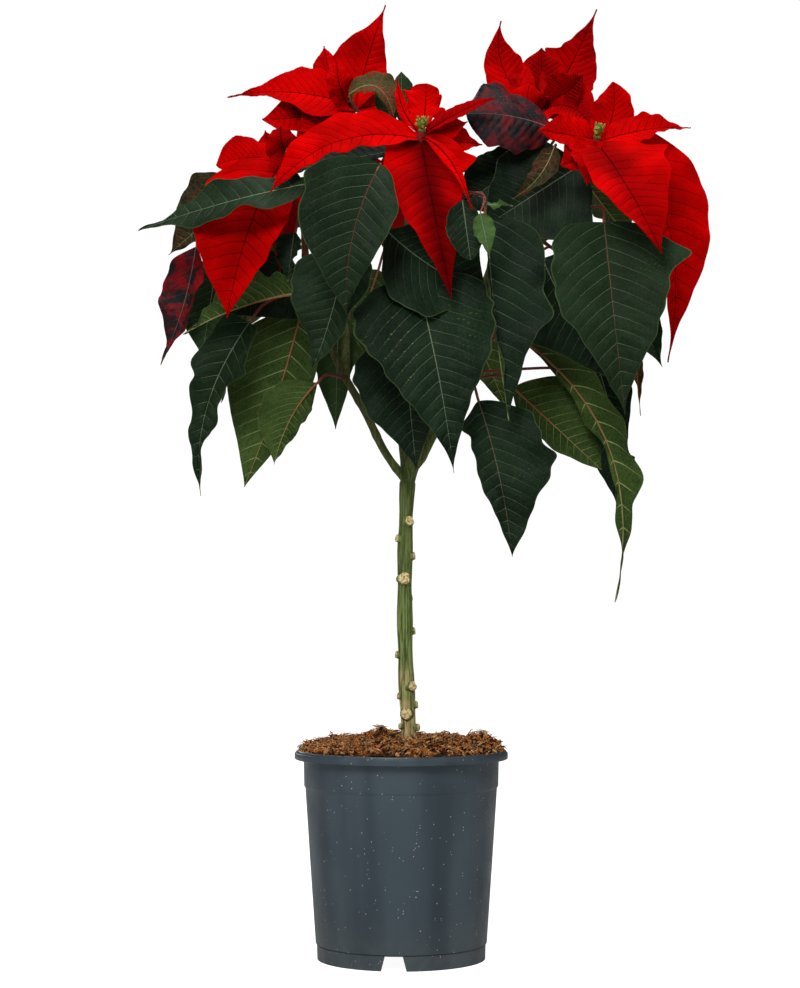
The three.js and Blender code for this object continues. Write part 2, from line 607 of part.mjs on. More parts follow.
function bloom(name, bracts, cups) {
  const [centre, axis] = shoots[name];
  const foot = centre.clone().addScaledVector(axis, -CORE_LENGTH);
  const shaft = new THREE.CylinderGeometry(3.4, 4.2, CORE_LENGTH, 6).rotateX(Math.PI / 2);
  shaft.applyQuaternion(new THREE.Quaternion().setFromUnitVectors(UP, axis));
  const middle = centre.clone().lerp(foot, 0.5);
  const core = solid(shaft.translate(middle.x, middle.y, middle.z));
  const specs = bracts.map((bract, i) => {
    const height = CORE_LENGTH * (0.08 + (0.5 * i) / bracts.length);
    return bractSpec(centre.clone().addScaledVector(axis, -height), bract);
  });
  const blades = specs.map((spec) => bladeSolid(spec));
  const bladeRoom = join(specs.map((spec) => bladeSolid(spec, GAP)));
  piece("bloom_" + name, largest(join([core, ...blades]).subtract(stemRoom)), 0xc80808, 0.5);
  const seated = largest(flowerCups(centre, axis, cups).subtract(bladeRoom));
  piece("flower_cups_" + name, seated, 0x9aa83a, 0.5);
}

// Half-section of one flower cup, [radius, height]: it bulges low down and its mouth is sunk.
const CUP = [[0, 0], [2.2, 3], [1.7, 7.4], [0, 6.2]];
const CUP_SPREAD = 0.4; // radians by which the outer cups lean out

function flowerCups(centre, axis, count) {
  const turn = new THREE.Quaternion().setFromUnitVectors(UP, axis);
  const seat = new THREE.CylinderGeometry(2.4, 3.2, 3, 6).rotateX(Math.PI / 2).translate(0, 0, 1.5 + GAP);
  const bodies = [solid(seat.applyQuaternion(turn).translate(centre.x, centre.y, centre.z))];
  for (let i = 0; i < count; i++) {
    const profile = CUP.map(([r, z]) => new THREE.Vector2(r, z));
    const cup = new THREE.LatheGeometry(profile, 5).rotateX(Math.PI / 2);
    const angle = (i * 2 * Math.PI) / count;
    const spread = i === 0 ? 0 : CUP_SPREAD;
    cup.rotateY(spread).rotateZ(angle).translate(0, 0, 2 + GAP);
    cup.translate(Math.cos(angle) * spread * 2.5, Math.sin(angle) * spread * 2.5, i === 0 ? 2 : 0);
    bodies.push(solid(cup.applyQuaternion(turn).translate(centre.x, centre.y, centre.z)));
  }
  return largest(join(bodies));
}

// Each bract: tip, half-widths, the way its upper face looks, and what else bends it.
bloom("back_left", [
  [V(-141, 8, 692), [27, 28], V(0, -0.85, 0.5), { peak: 0.3, power: 4, bow: V(0, -15, 4) }],
  [V(-112, -8, 671), [22, 24], V(0, -0.8, 0.3), { bow: V(0, -3, -4), power: 1.8 }],
  [V(-84, -16, 650), [20, 20], FRONT, { power: 1.8 }],
  [V(-96, 120, 724), [22, 22], BACKWARD],
  [V(-22, 153, 709), [24, 24], BACKWARD],
  [V(14, 70, 706), [18, 18], FRONT],
  [V(-52, 0, 718), [12, 12], FRONT, { bow: V(0, -14, -4), power: 1.6 }],
  [V(-13, 44, 777), [19, 30], V(0, -1, 0.1), { peak: 0.38, power: 3, bow: V(-12, 7, 0) }],
  [V(-65, 75, 750), [22, 22], V(0.3, -0.9, 0.2)],
], 2);
bloom("centre", [
  [V(20, -21, 697), [12, 16], V(0, -0.95, 0.3), { peak: 0.66, power: 1.5 }],
  [V(-3, -29, 699), [5, 5], FRONT],
  [V(73, -62, 676), [9, 9], UPWARD, { bow: V(0, 0, 4) }],
  [V(52, -52, 660), [12, 12], FRONT],
  [V(64, -40, 644), [14, 14], FRONT],
  [V(53, -128, 578), [5, 5], FRONT, { bow: V(2, -12, 8) }],
  [V(-100, -99, 596), [28, 24], UPWARD, { bow: V(-7, -5, 17), peak: 0.36, power: 2.1 }],
  [V(38, -112, 513), [34, 30], V(0, -1, 0.1), {
    bow: V(-2, -12, 4), teeth: [[0.27, 1, 12]], fold: 0.3, peak: 0.24, power: 1.7,
  }],
  [V(10, 31, 669), [20, 20], BACKWARD],
], 4);
bloom("left", [
  [V(-133, -96, 500), [46, 30], V(-0.1, -0.97, 0.2), { bow: V(-4, -16, 6), peak: 0.45 }],
  [V(-96, -36, 543), [14, 14], V(0, 0.9, 0.4)],
  [V(-151, 75, 642), [20, 20], BACKWARD],
  [V(-93, 96, 644), [20, 20], BACKWARD],
  [V(-95, -48, 657), [14, 15], FRONT, { bow: V(0, -14, -4), power: 1.7 }],
  [V(-110, 3, 664), [13, 13], FRONT],
  [V(-148, -16, 632), [19, 17], V(0, -0.85, 0.5), { bow: V(0, -4, 5), peak: 0.6, power: 1.9 }],
], 2);
bloom("right", [
  [V(108, -58, 652), [17, 16], FRONT, { power: 1.8 }],
  [V(143, -84, 604), [17, 15], FRONT],
  [V(124, -70, 622), [17, 16], FRONT, { bow: V(0, 0, -4), power: 1.8 }],
  [V(228, -47, 656), [16, 16], V(0, -0.75, 0.65), { peak: 0.38, power: 2.4, bow: V(0, 0, 4) }],
  [V(196, -125, 545), [28, 37], V(0.1, -0.95, 0.3), {
    bow: V(-3, -16, 6), teeth: [[0.34, 1, 7]], fold: 0.3,
  }],
  [V(208, -55, 470), [30, 40], V(0.35, -0.92, 0.15), { bow: V(28, 10, 28), peak: 0.36, power: 2.6 }],
  [V(217, 39, 642), [20, 20], BACKWARD],
  [V(174, 81, 668), [22, 22], BACKWARD],
  [V(169, -23, 698), [17, 18], FRONT, { peak: 0.5, power: 1.7 }],
], 3);
bloom("back_right", [
  [V(163, 54, 776), [27, 20], FRONT, { teeth: [[0.53, 1, 7]], power: 3, peak: 0.38, bow: V(-6, 19, 0) }],
  [V(83, 49, 765), [20, 19], FRONT, { peak: 0.4, power: 3, bow: V(-6, 9, 0) }],
  [V(146, -10, 706), [20, 20], FRONT, { power: 1.8 }],
  [V(152, -14, 664), [25, 25], V(0, -0.85, 0.5), { bow: V(0, -6, 10), power: 1.8 }],
  [V(152, 133, 704), [22, 22], BACKWARD],
  [V(100, 146, 707), [22, 22], BACKWARD],
  [V(117, 56, 744), [24, 27], FRONT, { power: 1.7 }],
  [V(86, 50, 722), [13, 18], UPWARD],
  [V(105, 9, 704), [18, 20], FRONT, { bow: V(0, -2, -4), power: 1.8 }],
], 2);
bloom("back", [
  [V(-53, 158, 660), [20, 20], BACKWARD],
  [V(63, 160, 663), [20, 20], BACKWARD],
  [V(-63, 140, 606), [22, 22], V(-0.3, 0.9, 0.3)],
  [V(73, 146, 610), [22, 22], V(0.3, 0.9, 0.3)],
  [V(5, 168, 556), [28, 28], V(0, 0.95, 0.3)],
  [V(-2, 72, 676), [18, 18], BACKWARD, { bow: V(0, -14, -6) }],
  [V(8, 172, 652), [22, 22], BACKWARD],
], 2);

export default plant;
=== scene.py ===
import math

import bpy
import numpy as np
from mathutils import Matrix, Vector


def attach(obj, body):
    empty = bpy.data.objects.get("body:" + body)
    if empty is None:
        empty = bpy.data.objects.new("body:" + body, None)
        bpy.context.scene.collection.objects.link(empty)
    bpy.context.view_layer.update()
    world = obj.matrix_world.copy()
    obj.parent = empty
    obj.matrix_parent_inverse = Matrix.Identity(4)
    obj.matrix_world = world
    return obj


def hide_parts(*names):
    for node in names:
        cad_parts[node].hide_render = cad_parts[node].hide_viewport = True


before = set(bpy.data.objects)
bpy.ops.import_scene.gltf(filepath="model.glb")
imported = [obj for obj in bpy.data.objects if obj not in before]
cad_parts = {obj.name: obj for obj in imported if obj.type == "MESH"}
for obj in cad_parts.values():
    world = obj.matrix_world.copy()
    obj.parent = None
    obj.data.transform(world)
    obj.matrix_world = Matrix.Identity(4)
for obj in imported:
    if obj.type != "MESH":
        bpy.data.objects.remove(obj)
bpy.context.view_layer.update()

# ---- studio ----
# The plant stands on a white paper floor that runs away to nothing, as in a nursery's catalogue room. Soft boxes hang
# in front, above and behind, a weaker one stands on the right, and a tall strip on the left draws the pot's edge.
def cast_and_shown(tree, strength, cast, shown):
    """Feeds the strength with one number for the light that falls on the plant and one for what the camera sees."""
    path, glow = tree.nodes.new("ShaderNodeLightPath"), tree.nodes.new("ShaderNodeMapRange")
    tree.links.new(path.outputs["Is Camera Ray"], glow.inputs["Value"])
    glow.inputs["To Min"].default_value = cast
    glow.inputs["To Max"].default_value = shown
    tree.links.new(glow.outputs["Result"], strength)


floor_half = 14
floor_corners = [(east * floor_half, north * floor_half, 0) for east, north in ((-1, -1), (1, -1), (1, 1), (-1, 1))]
floor_mesh = bpy.data.meshes.new("paper_floor")
floor_mesh.from_pydata(floor_corners, [], [(0, 1, 2, 3)])
floor = bpy.data.objects.new("paper_floor", floor_mesh)
bpy.context.scene.collection.objects.link(floor)

paper = bpy.data.materials.new("white_paper")
paper.use_nodes = True
paper_feel = paper.node_tree.nodes["Principled BSDF"].inputs
paper_feel["Base Color"].default_value = (0.5, 0.5, 0.5, 1)
paper_feel["Roughness"].default_value = 1.0
paper_feel["Specular IOR Level"].default_value = 0.0
paper_feel["Emission Color"].default_value = (1, 1, 1, 1)
cast_and_shown(paper.node_tree, paper_feel["Emission Strength"], 0.06, 0.955)
floor_mesh.materials.append(paper)

air = bpy.data.worlds.new("studio_air")
air.use_nodes = True
bpy.context.scene.world = air
air_feel = air.node_tree.nodes["Background"].inputs
air_feel["Color"].default_value = (1, 1, 1, 1)
cast_and_shown(air.node_tree, air_feel["Strength"], 0.12, 1.05)


def soft_box(name, place, aim_height, width, height, watts):
    """A flat soft light at a place, turned so that its face looks at that height on the upright axis."""
    lamp = bpy.data.lights.new(name, "AREA")
    lamp.shape, lamp.size, lamp.size_y, lamp.energy = "RECTANGLE", width, height, watts
    holder = bpy.data.objects.new(name, lamp)
    holder.location = place
    way = Vector((0, 0, aim_height)) - Vector(place)
    holder.rotation_euler = way.to_track_quat("-Z", "Y").to_euler()
    bpy.context.scene.collection.objects.link(holder)


soft_box("front_soft_box", (-0.55, -2.2, 1.9), 0.5, 1.0, 1.0, 43)
soft_box("right_soft_box", (1.9, -1.3, 0.9), 0.5, 0.9, 1.4, 9)
soft_box("top_soft_box", (0.1, -0.1, 2.2), 0.5, 1.1, 1.1, 21)
soft_box("back_soft_box", (-0.6, 2.3, 1.5), 0.5, 1.3, 1.3, 22)
soft_box("left_strip", (-1.9, -1.2, 0.5), 0.2, 0.35, 1.6, 5)

camera = bpy.data.cameras.new("studio_camera")
camera.lens, camera.sensor_width = 83.15, 36
camera_stand = bpy.data.objects.new("studio_camera", camera)
camera_stand.location = (-0.021, -1.844, 0.295)
tilted_up = 2.33
camera_stand.rotation_euler = (math.radians(90 + tilted_up), 0, 0)
bpy.context.scene.collection.objects.link(camera_stand)
bpy.context.scene.camera = camera_stand
bpy.context.scene.view_settings.view_transform = "Standard"

# ---- pot ----
# A thin nursery pot, injection moulded in dark blue-grey plastic, with a rolled lip, a shallow step under it
# and a set-in foot skirt with three notches, so that water can run away from the drain holes in the base.
pot_axis = np.array([-20.0, -14.0, 0.0])


def mesh_piece(name, points, faces, finishes, finish_of=None, marks=None, crease=40):
    """Points in millimetres from the pot's axis become metres: (point + axis) / 1000. Faces are arrays of three or
    four corner numbers each. Marks are named values, one or three for each point. Edges sharper than the crease, in
    degrees, stay sharp."""
    mesh = bpy.data.meshes.new(name)
    corners = [face for block in faces for face in np.asarray(block).tolist()]
    mesh.from_pydata(((np.asarray(points) + pot_axis) * 0.001).tolist(), [], corners)
    for finish in finishes:
        mesh.materials.append(finish)
    if finish_of is not None:
        mesh.polygons.foreach_set("material_index", np.asarray(finish_of, dtype=np.int32))
    for mark, values in (marks or {}).items():
        values = np.asarray(values, dtype=np.float32)
        kind = "FLOAT" if values.ndim == 1 else "FLOAT_VECTOR"
        layer = mesh.attributes.new(mark, kind, "POINT")
        layer.data.foreach_set("value" if values.ndim == 1 else "vector", values.ravel())
    mesh.polygons.foreach_set("use_smooth", np.ones(len(corners), dtype=bool))
    mesh.set_sharp_from_angle(angle=math.radians(crease))
    mesh.validate()
    piece = bpy.data.objects.new(name, mesh)
    bpy.context.scene.collection.objects.link(piece)
    return piece


def stands_for(piece, slot, *nodes):
    """The piece rides on the plant's one body and stands for the named solids, which it hides. The slot is not used.
    """
    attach(piece, "root")
    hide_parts(*nodes)


def grid_faces(rows, columns, wrap_rows=False, wrap_columns=False):
    """Four corners for each cell of a grid of rows by columns, numbered row by row. A wrapped side runs on into its
    own beginning."""
    r = np.arange(rows if wrap_rows else rows - 1)[:, None]
    c = np.arange(columns if wrap_columns else columns - 1)[None, :]
    r2, c2 = (r + 1) % rows, (c + 1) % columns
    cells = np.stack(np.broadcast_arrays(r * columns + c, r * columns + c2, r2 * columns + c2, r2 * columns + c), -1)
    return cells.reshape(-1, 4)


def fan_faces(ring, hub):
    """Three corners for each side of a closed ring of point numbers, all meeting at the hub."""
    ring = np.asarray(ring)
    return np.stack([ring, np.roll(ring, -1), np.full(len(ring), hub)], 1)


def node(tree, kind, feeds=None, **settings):
    """One shader node: settings go on the node itself, and each feed, by the input's number or name, is a plain value
    or another node's output."""
    made = tree.nodes.new(kind)
    for setting, value in settings.items():
        setattr(made, setting, value)
    for key, feed in (feeds or {}).items():
        if isinstance(feed, bpy.types.NodeSocket):
            tree.links.new(feed, made.inputs[key])
        else:
            made.inputs[key].default_value = feed
    return made


def sums(tree, operation, first, second=0.0, third=0.0):
    """The output of one sum on up to three numbers."""
    return node(tree, "ShaderNodeMath", {0: first, 1: second, 2: third}, operation=operation).outputs[0]


def fade(tree, value, low, high, at_low=0.0, at_high=1.0):
    """A soft step: at_low below low, at_high above high, smooth between."""
    feeds = {"Value": value, "From Min": low, "From Max": high, "To Min": at_low, "To Max": at_high}
    return node(tree, "ShaderNodeMapRange", feeds, interpolation_type="SMOOTHSTEP").outputs[0]


def tint(tree, share, under, over):
    """The colour under, covered by the colour over to the given share."""
    under, over = ((*colour, 1) if isinstance(colour, tuple) else colour for colour in (under, over))
    return node(tree, "ShaderNodeMix", {0: share, 6: under, 7: over}, data_type="RGBA").outputs[2]


def noise(tree, place, scale, detail=3.0, rough=0.55):
    """Cloudy values from 0 to 1 at so many blots to the metre."""
    feeds = {"Vector": place, "Scale": scale, "Detail": detail, "Roughness": rough}
    return node(tree, "ShaderNodeTexNoise", feeds).outputs[0]


def new_finish(name, roughness, specular=0.5):
    """A new material: its node tree, its shader and the object coordinates."""
    finish = bpy.data.materials.new(name)
    finish.use_nodes = True
    tree = finish.node_tree
    shader = tree.nodes["Principled BSDF"]
    shader.inputs["Roughness"].default_value = roughness
    shader.inputs["Specular IOR Level"].default_value = specular
    place = node(tree, "ShaderNodeTexCoord").outputs["Object"]
    return finish, tree, shader, place


def coat(tree, shader, colour, height, depth):
    """The colour feeds the shader's, and the height, as a share of the depth in metres, its normal by one bump."""
    tree.links.new(colour, shader.inputs["Base Color"])
    bump = node(tree, "ShaderNodeBump", {"Height": height, "Strength": 1.0, "Distance": depth})
    tree.links.new(bump.outputs[0], shader.inputs["Normal"])


# Fine pale grit that water has splashed onto plastic and bark, as a group: it gives one mask.
grit = bpy.data.node_groups.new("splashed_grit", "ShaderNodeTree")
grit.interface.new_socket("Place", in_out="INPUT", socket_type="NodeSocketVector")
grit.interface.new_socket("Amount", in_out="INPUT", socket_type="NodeSocketFloat")
grit.interface.new_socket("Mask", in_out="OUTPUT", socket_type="NodeSocketFloat")
grit_in, grit_out = node(grit, "NodeGroupInput"), node(grit, "NodeGroupOutput")
grit_dots = node(grit, "ShaderNodeTexVoronoi", {"Vector": grit_in.outputs["Place"], "Scale": 380.0})
grit_size = sums(grit, "MULTIPLY", fade(grit, grit_dots.outputs["Color"], 0.52, 0.9), grit_in.outputs["Amount"])
grit_cut = sums(grit, "LESS_THAN", grit_dots.outputs["Distance"], sums(grit, "MULTIPLY", grit_size, 0.14))
grit.links.new(grit_cut, grit_out.inputs["Mask"])

pot_plastic, tree, shader, place = new_finish("pot_plastic", 0.36, 0.35)
pot_colour = tint(tree, noise(tree, place, 14.0), (0.038, 0.059, 0.074), (0.066, 0.094, 0.112))
# Painted light: long upright bands darken the plastic in stripes, and the lighter stripes left between them stand in
# for soft highlights.
pot_upright = node(tree, "ShaderNodeMapping", {"Vector": place, "Scale": (1, 1, 0.05)}).outputs[0]
painted_light_bands = fade(tree, noise(tree, pot_upright, 26.0, 2.0), 0.35, 0.65)
pot_colour = tint(tree, sums(tree, "MULTIPLY", painted_light_bands, 0.8), pot_colour, (0.019, 0.033, 0.045))
pot_height = node(tree, "ShaderNodeSeparateXYZ", {0: place}).outputs[2]
low_dust = fade(tree, pot_height, 0.0, 0.05, 0.35, 0.0)
pot_colour = tint(tree, sums(tree, "MULTIPLY", low_dust, noise(tree, place, 90.0)), pot_colour, (0.20, 0.20, 0.19))
pot_grit = node(tree, "ShaderNodeGroup", {"Place": place, "Amount": 1.25}, node_tree=grit)
pot_colour = tint(tree, sums(tree, "MULTIPLY", pot_grit.outputs["Mask"], 0.8), pot_colour, (0.62, 0.58, 0.50))
tree.links.new(fade(tree, noise(tree, place, 35.0, 4.0), 0.2, 0.9, 0.30, 0.52), shader.inputs["Roughness"])
coat(tree, shader, pot_colour, sums(tree, "ADD", noise(tree, place, 420.0), pot_grit.outputs["Mask"]), 0.00012)

pot_sides = 168
pot_turn = np.linspace(0, 2 * np.pi, pot_sides, endpoint=False)


def turned(profile, turns):
    """A profile of (radius, height) pairs carried round the axis: x = r cos a, y = r sin a."""
    profile = np.asarray(profile, dtype=float)
    r, z = profile[:, 0][:, None], profile[:, 1][:, None]
    return np.stack([r * np.cos(turns), r * np.sin(turns), z + 0 * turns], -1).reshape(-1, 3)


# The wall, from the base's underside up the outside, over the rolled lip and down the inner face.
pot_wall = [
    (64.0, 12.0), (64.6, 12.0), (64.9, 11.3), (66.6, 11.3), (66.7, 12.0), (67.3, 12.1), (67.9, 12.5), (68.15, 13.4),
    (72.1, 70.0), (76.4, 134.4), (76.6, 135.4), (77.3, 136.5), (77.5, 137.3), (77.7, 148.0), (77.9, 156.6),
    (78.1, 157.6), (79.0, 157.9), (84.3, 158.1), (84.9, 158.4), (85.1, 159.0), (85.1, 162.2), (85.0, 162.9),
    (84.6, 163.3), (84.05, 163.4), (84.0, 164.0), (83.6, 164.7), (82.6, 165.0), (79.6, 165.0), (77.9, 164.9),
    (76.8, 164.2), (76.1, 162.6), (75.6, 136.4), (74.2, 134.6), (66.6, 16.0), (66.0, 14.4), (64.0, 13.8),
]
pot_points = [turned(pot_wall, pot_turn)]
pot_faces = [grid_faces(len(pot_wall), pot_sides, wrap_rows=True, wrap_columns=True)]
pot_count = len(pot_points[0])

# The foot skirt: three bent plates between the notches, whose sides lean so that a notch is 14 across at its top and
# 20 at the floor. A plate's point is at angle = left edge + share x (right edge - left edge), both edges by height.
first_notch, third = -np.pi / 2 - 0.09, 2 * np.pi / 3
notch_floor, notch_lean, notch_height, skirt_radius = 20, 6, 11.4, 66
skirt_heights = np.array([[0.0], [0.5], [4.0], [8.0], [11.5]])
notch_half = (notch_floor - notch_lean * skirt_heights / notch_height) / 2 / skirt_radius
for number in range(3):
    left, right = first_notch + number * third + notch_half, first_notch + (number + 1) * third - notch_half
    angle = left + (right - left) * np.linspace(0, 1, 49)
    outer, inner = (
        np.stack([r * np.cos(angle), r * np.sin(angle), skirt_heights + 0 * angle], -1)
        for r in (66.8 + 0.03 * skirt_heights, 65.0 + 0 * skirt_heights)
    )
    shell = np.concatenate([outer, inner[::-1]], 0)
    rows, columns = shell.shape[:2]
    ends = np.arange(rows // 2)[:-1, None]
    left_end = np.hstack([ends, ends + 1, rows - 2 - ends, rows - 1 - ends]) * columns
    pot_points.append(shell.reshape(-1, 3))
    for block in (grid_faces(rows, columns, wrap_rows=True), left_end, left_end[:, ::-1] + columns - 1):
        pot_faces.append(block + pot_count)
    pot_count += rows * columns

# The base: one plate for each third, drawn out from its drain hole to the plate's edge in straight lines:
# point = hole edge + share x (plate edge - hole edge).
base_radius, base_under, base_top = 64.8, 12.0, 13.8
drain_middle, drain_radius = np.array([48.0, 0.0]), 5
spoke, arc = np.array([0.0, 22.0, 44.0, base_radius]), np.linspace(-third / 2, third / 2, 25)[1:-1]
rim = np.vstack([
    np.outer(spoke, (np.cos(-third / 2), np.sin(-third / 2))),
    np.stack([base_radius * np.cos(arc), base_radius * np.sin(arc)], 1),
    np.outer(spoke[:0:-1], (np.cos(third / 2), np.sin(third / 2))),
])
hole = drain_middle + drain_radius * (rim - drain_middle) / np.linalg.norm(rim - drain_middle, axis=1)[:, None]
flat = hole + np.array([0.0, 0.35, 1.0])[:, None, None] * (rim - hole)
plate = np.concatenate([
    np.concatenate([sheet, z + 0 * sheet[..., :1]], -1) for sheet, z in ((flat, base_under), (flat[::-1], base_top))
])
for number in range(3):
    c, s = np.cos(first_notch + number * third), np.sin(first_notch + number * third)
    pot_points.append(plate.reshape(-1, 3) @ [[c, s, 0], [-s, c, 0], [0, 0, 1]])
    pot_faces.append(grid_faces(*plate.shape[:2], wrap_rows=True, wrap_columns=True) + pot_count)
    pot_count += plate.shape[0] * plate.shape[1]

pot = mesh_piece("moulded_pot", np.vstack(pot_points), pot_faces, [pot_plastic], crease=28)
stands_for(pot, "pot", "pot")

# ---- soil ----
# Coir and peat, rusty brown and full of fibres, heaped a little above the lip round the foot of the stem.
# A rough mound carries loose crumbs and bent fibres, each a small body of its own, pressed into the top.
chance = np.random.default_rng(11)


def ripples(east, north, count, low, high, lot):
    """The mean of so many waves over the ground: sin(k . place + start), with each wave's length between low and high
    millimetres and its way and start drawn from the lot."""
    way = lot.uniform(0, 2 * np.pi, count)
    size = 2 * np.pi / lot.uniform(low, high, count)
    start = lot.uniform(0, 2 * np.pi, count)
    shape = (count,) + (1,) * np.ndim(east)
    turns = (size * np.cos(way)).reshape(shape) * east + (size * np.sin(way)).reshape(shape) * north
    return np.sin(turns + start.reshape(shape)).mean(0)


def mound(east, north):
    """Height of the soil: 168.4 + 4.5 (1 - r^2), broad and fine waves, two clods, a dip at the stem, and a fall of
    2.6 where it lies on the lip."""
    r = np.hypot(east, north) / 75.5
    spilt = np.clip((r - 0.95) / 0.12, 0, 1)
    lot = np.random.default_rng(5)
    lumps = 6 * ripples(east, north, 9, 24, 55, lot) + 6 * ripples(east, north, 14, 6, 14, lot)
    clods = 9.5 * np.exp(-((east + 14) ** 2 + (north + 8) ** 2) / 100)
    clods = clods + 8.0 * np.exp(-((east - 63) ** 2 + (north - 4) ** 2) / 110)
    near_stem = 3.0 * np.exp(-((east - 6) ** 2 + north**2) / 160)
    return 168.4 + 4.5 * (1 - r**2) + lumps * np.clip(1.35 - r**4, 0.25, 1) + clods - near_stem - 2.6 * spilt**2


soil_angle = np.linspace(0, 2 * np.pi, 200, endpoint=False)[None, :]
soil_reach = np.linspace(81.4, 0.8, 80)[:, None]
ragged = np.sin(7 * soil_angle) + np.sin(13 * soil_angle + 2) + np.sin(29 * soil_angle + 1)
soil_reach = soil_reach + 0.5 * ragged * np.clip((soil_reach - 72) / 10, 0, 1)
soil_east, soil_north = soil_reach * np.cos(soil_angle), soil_reach * np.sin(soil_angle)
soil_top = mound(soil_east, soil_north)
soil_skirt = turned([
    (2, 14.2), (65.5, 14.2), (73.7, 134.0), (75.2, 136.6), (75.4, 162.5), (76.4, 164.9), (78.0, 165.3), (80.6, 165.3),
], soil_angle[0])


def capped(rings, hubs):
    """A closed skin over rings of points, rows x columns x 3, whose ends are fans to a first hub and to a last."""
    rows, columns = rings.shape[:2]
    last = rows * columns
    faces = [
        grid_faces(rows, columns, wrap_columns=True),
        fan_faces(np.arange(columns)[::-1], last),
        fan_faces(np.arange(last - columns, last), last + 1),
    ]
    return np.vstack([rings.reshape(-1, 3), hubs]), faces


soil_rings = np.concatenate([soil_skirt.reshape(8, -1, 3), np.stack([soil_east, soil_north, soil_top], -1)])
soil_points, soil_faces = capped(soil_rings, [[0, 0, 14.2], [0, 0, float(mound(0.0, 0.0))]])


def marked(tree, name, output="Fac"):
    """The values that a piece's points carry under this name."""
    return node(tree, "ShaderNodeAttribute", attribute_name=name).outputs[output]


peat, tree, shader, place = new_finish("coir_and_peat", 0.92, 0.2)
bit_tone_and_gap_shade = marked(tree, "bit_tone_and_gap_shade")
peat_colour = tint(tree, fade(tree, bit_tone_and_gap_shade, 0.0, 0.5), (0.026, 0.009, 0.004), (0.98, 0.31, 0.062))
peat_colour = tint(tree, fade(tree, bit_tone_and_gap_shade, 0.5, 1.0), peat_colour, (1.0, 0.60, 0.26))
peat_cloud = noise(tree, place, 900.0, 4.0, 0.7)
peat_colour = tint(tree, fade(tree, peat_cloud, 0.38, 0.62, 0.8, 0.0), peat_colour, (0.020, 0.008, 0.004))
coat(tree, shader, peat_colour, noise(tree, place, 1300.0, 5.0, 0.7), 0.0012)


def scatter(count, spread, lot):
    """So many places on the mound, even over the disc: r = spread x sqrt(share)."""
    reach, angle = spread * np.sqrt(lot.uniform(0, 1, count)), lot.uniform(0, 2 * np.pi, count)
    east, north = reach * np.cos(angle), reach * np.sin(angle)
    return np.stack([east, north, mound(east, north)], -1)


def turned_about(points, lot, steep=1.0):
    """Each body's points, count x points x 3, turned by its own draw: about the upright by any angle, and over by up
    to the steep share of a right angle."""
    count = len(points)
    spin, tip = lot.uniform(0, 2 * np.pi, count), lot.uniform(-0.5, 0.5, count) * np.pi * steep
    cs, sn, ct, st = np.cos(spin), np.sin(spin), np.cos(tip), np.sin(tip)
    zero = 0 * cs
    rows = [[cs * ct, -sn, cs * st], [sn * ct, cs, sn * st], [-st, zero, ct]]
    matrix = np.stack([np.stack(row, -1) for row in rows], 1)
    return np.einsum("nij,npj->npi", matrix, points)


# Crumbs: a twenty-faced ball whose corners are pushed in and out by a third at random.
golden = (1 + 5**0.5) / 2
ball = np.array([
    (-1, golden, 0), (1, golden, 0), (-1, -golden, 0), (1, -golden, 0), (0, -1, golden), (0, 1, golden),
    (0, -1, -golden), (0, 1, -golden), (golden, 0, -1), (golden, 0, 1), (-golden, 0, -1), (-golden, 0, 1),
]) / 1.9
ball_faces = np.array([
    (0, 11, 5), (0, 5, 1), (0, 1, 7), (0, 7, 10), (0, 10, 11), (1, 5, 9), (5, 11, 4), (11, 10, 2), (10, 7, 6),
    (7, 1, 8), (3, 9, 4), (3, 4, 2), (3, 2, 6), (3, 6, 8), (3, 8, 9), (4, 9, 5), (2, 4, 11), (6, 2, 10), (8, 6, 7),
    (9, 8, 1),
])


def crumbs(places, low, high, lot):
    """A crumb on each place: ball x size x (1 +- a third for each corner), longer one way than the other."""
    count = len(places)
    size = lot.uniform(low, high, (count, 1, 1)) * lot.uniform(0.6, 1.5, (count, 1, 3))
    body = ball[None] * size * lot.uniform(0.67, 1.33, (count, 12, 1))
    points = turned_about(body, lot) + places[:, None, :]
    faces = ball_faces[None] + 12 * np.arange(count)[:, None, None]
    return points.reshape(-1, 3), faces.reshape(-1, 3), np.repeat(lot.beta(0.45, 0.8, count), 12)


def fibres(places, lot, low, high, steep):
    """A bent fibre on each place: a three-sided thread along x = length (s - 1/2), with y and z bowing as s (1 - s)
    and as a sine, thin at both ends."""
    count = len(places)
    s = np.linspace(0, 1, 6)[None, :, None]
    length, bow = lot.uniform(low, high, (count, 1, 1)), lot.uniform(-0.5, 0.5, (count, 1, 1))
    kink = lot.uniform(-0.12, 0.12, (count, 1, 1))
    thick = lot.uniform(0.25, 0.75, (count, 1, 1)) * (0.35 + 2.6 * s * (1 - s))
    around = (np.arange(3) * 2 * np.pi / 3)[None, None, :]
    x = length * (s - 0.5) + 0 * around
    y = length * (bow * 4 * s * (1 - s) * 0.5 + kink * np.sin(9 * s)) + thick * np.cos(around)
    z = length * kink * np.cos(7 * s) + length * 0.10 * (4 * s * (1 - s)) + thick * np.sin(around)
    body = np.stack([x, y, z], -1).reshape(count, 18, 3)
    points = turned_about(body, lot, steep) + places[:, None, :]
    side = grid_faces(6, 3, wrap_columns=True)
    ends = np.array([(2, 1, 0), (15, 16, 17)])
    first = 18 * np.arange(count)[:, None, None]
    shade = np.repeat(np.clip(lot.normal(0.55, 0.5, count), 0.0, 1), 18)
    return points.reshape(-1, 3), [(side[None] + first).reshape(-1, 4), (ends[None] + first).reshape(-1, 3)], shade


soil_spread, lip_top, lip_bits = 80.8, 165.3, 90
loose = scatter(2100, soil_spread, chance) + [0, 0, 0.4]
crumb_points, crumb_faces, crumb_shade = crumbs(loose, 0.5, 2.0, chance)
threads = scatter(3300, soil_spread, chance) + [0, 0, 1.0]
thread_points, thread_faces, thread_shade = fibres(threads, chance, 3, 12, 0.6)
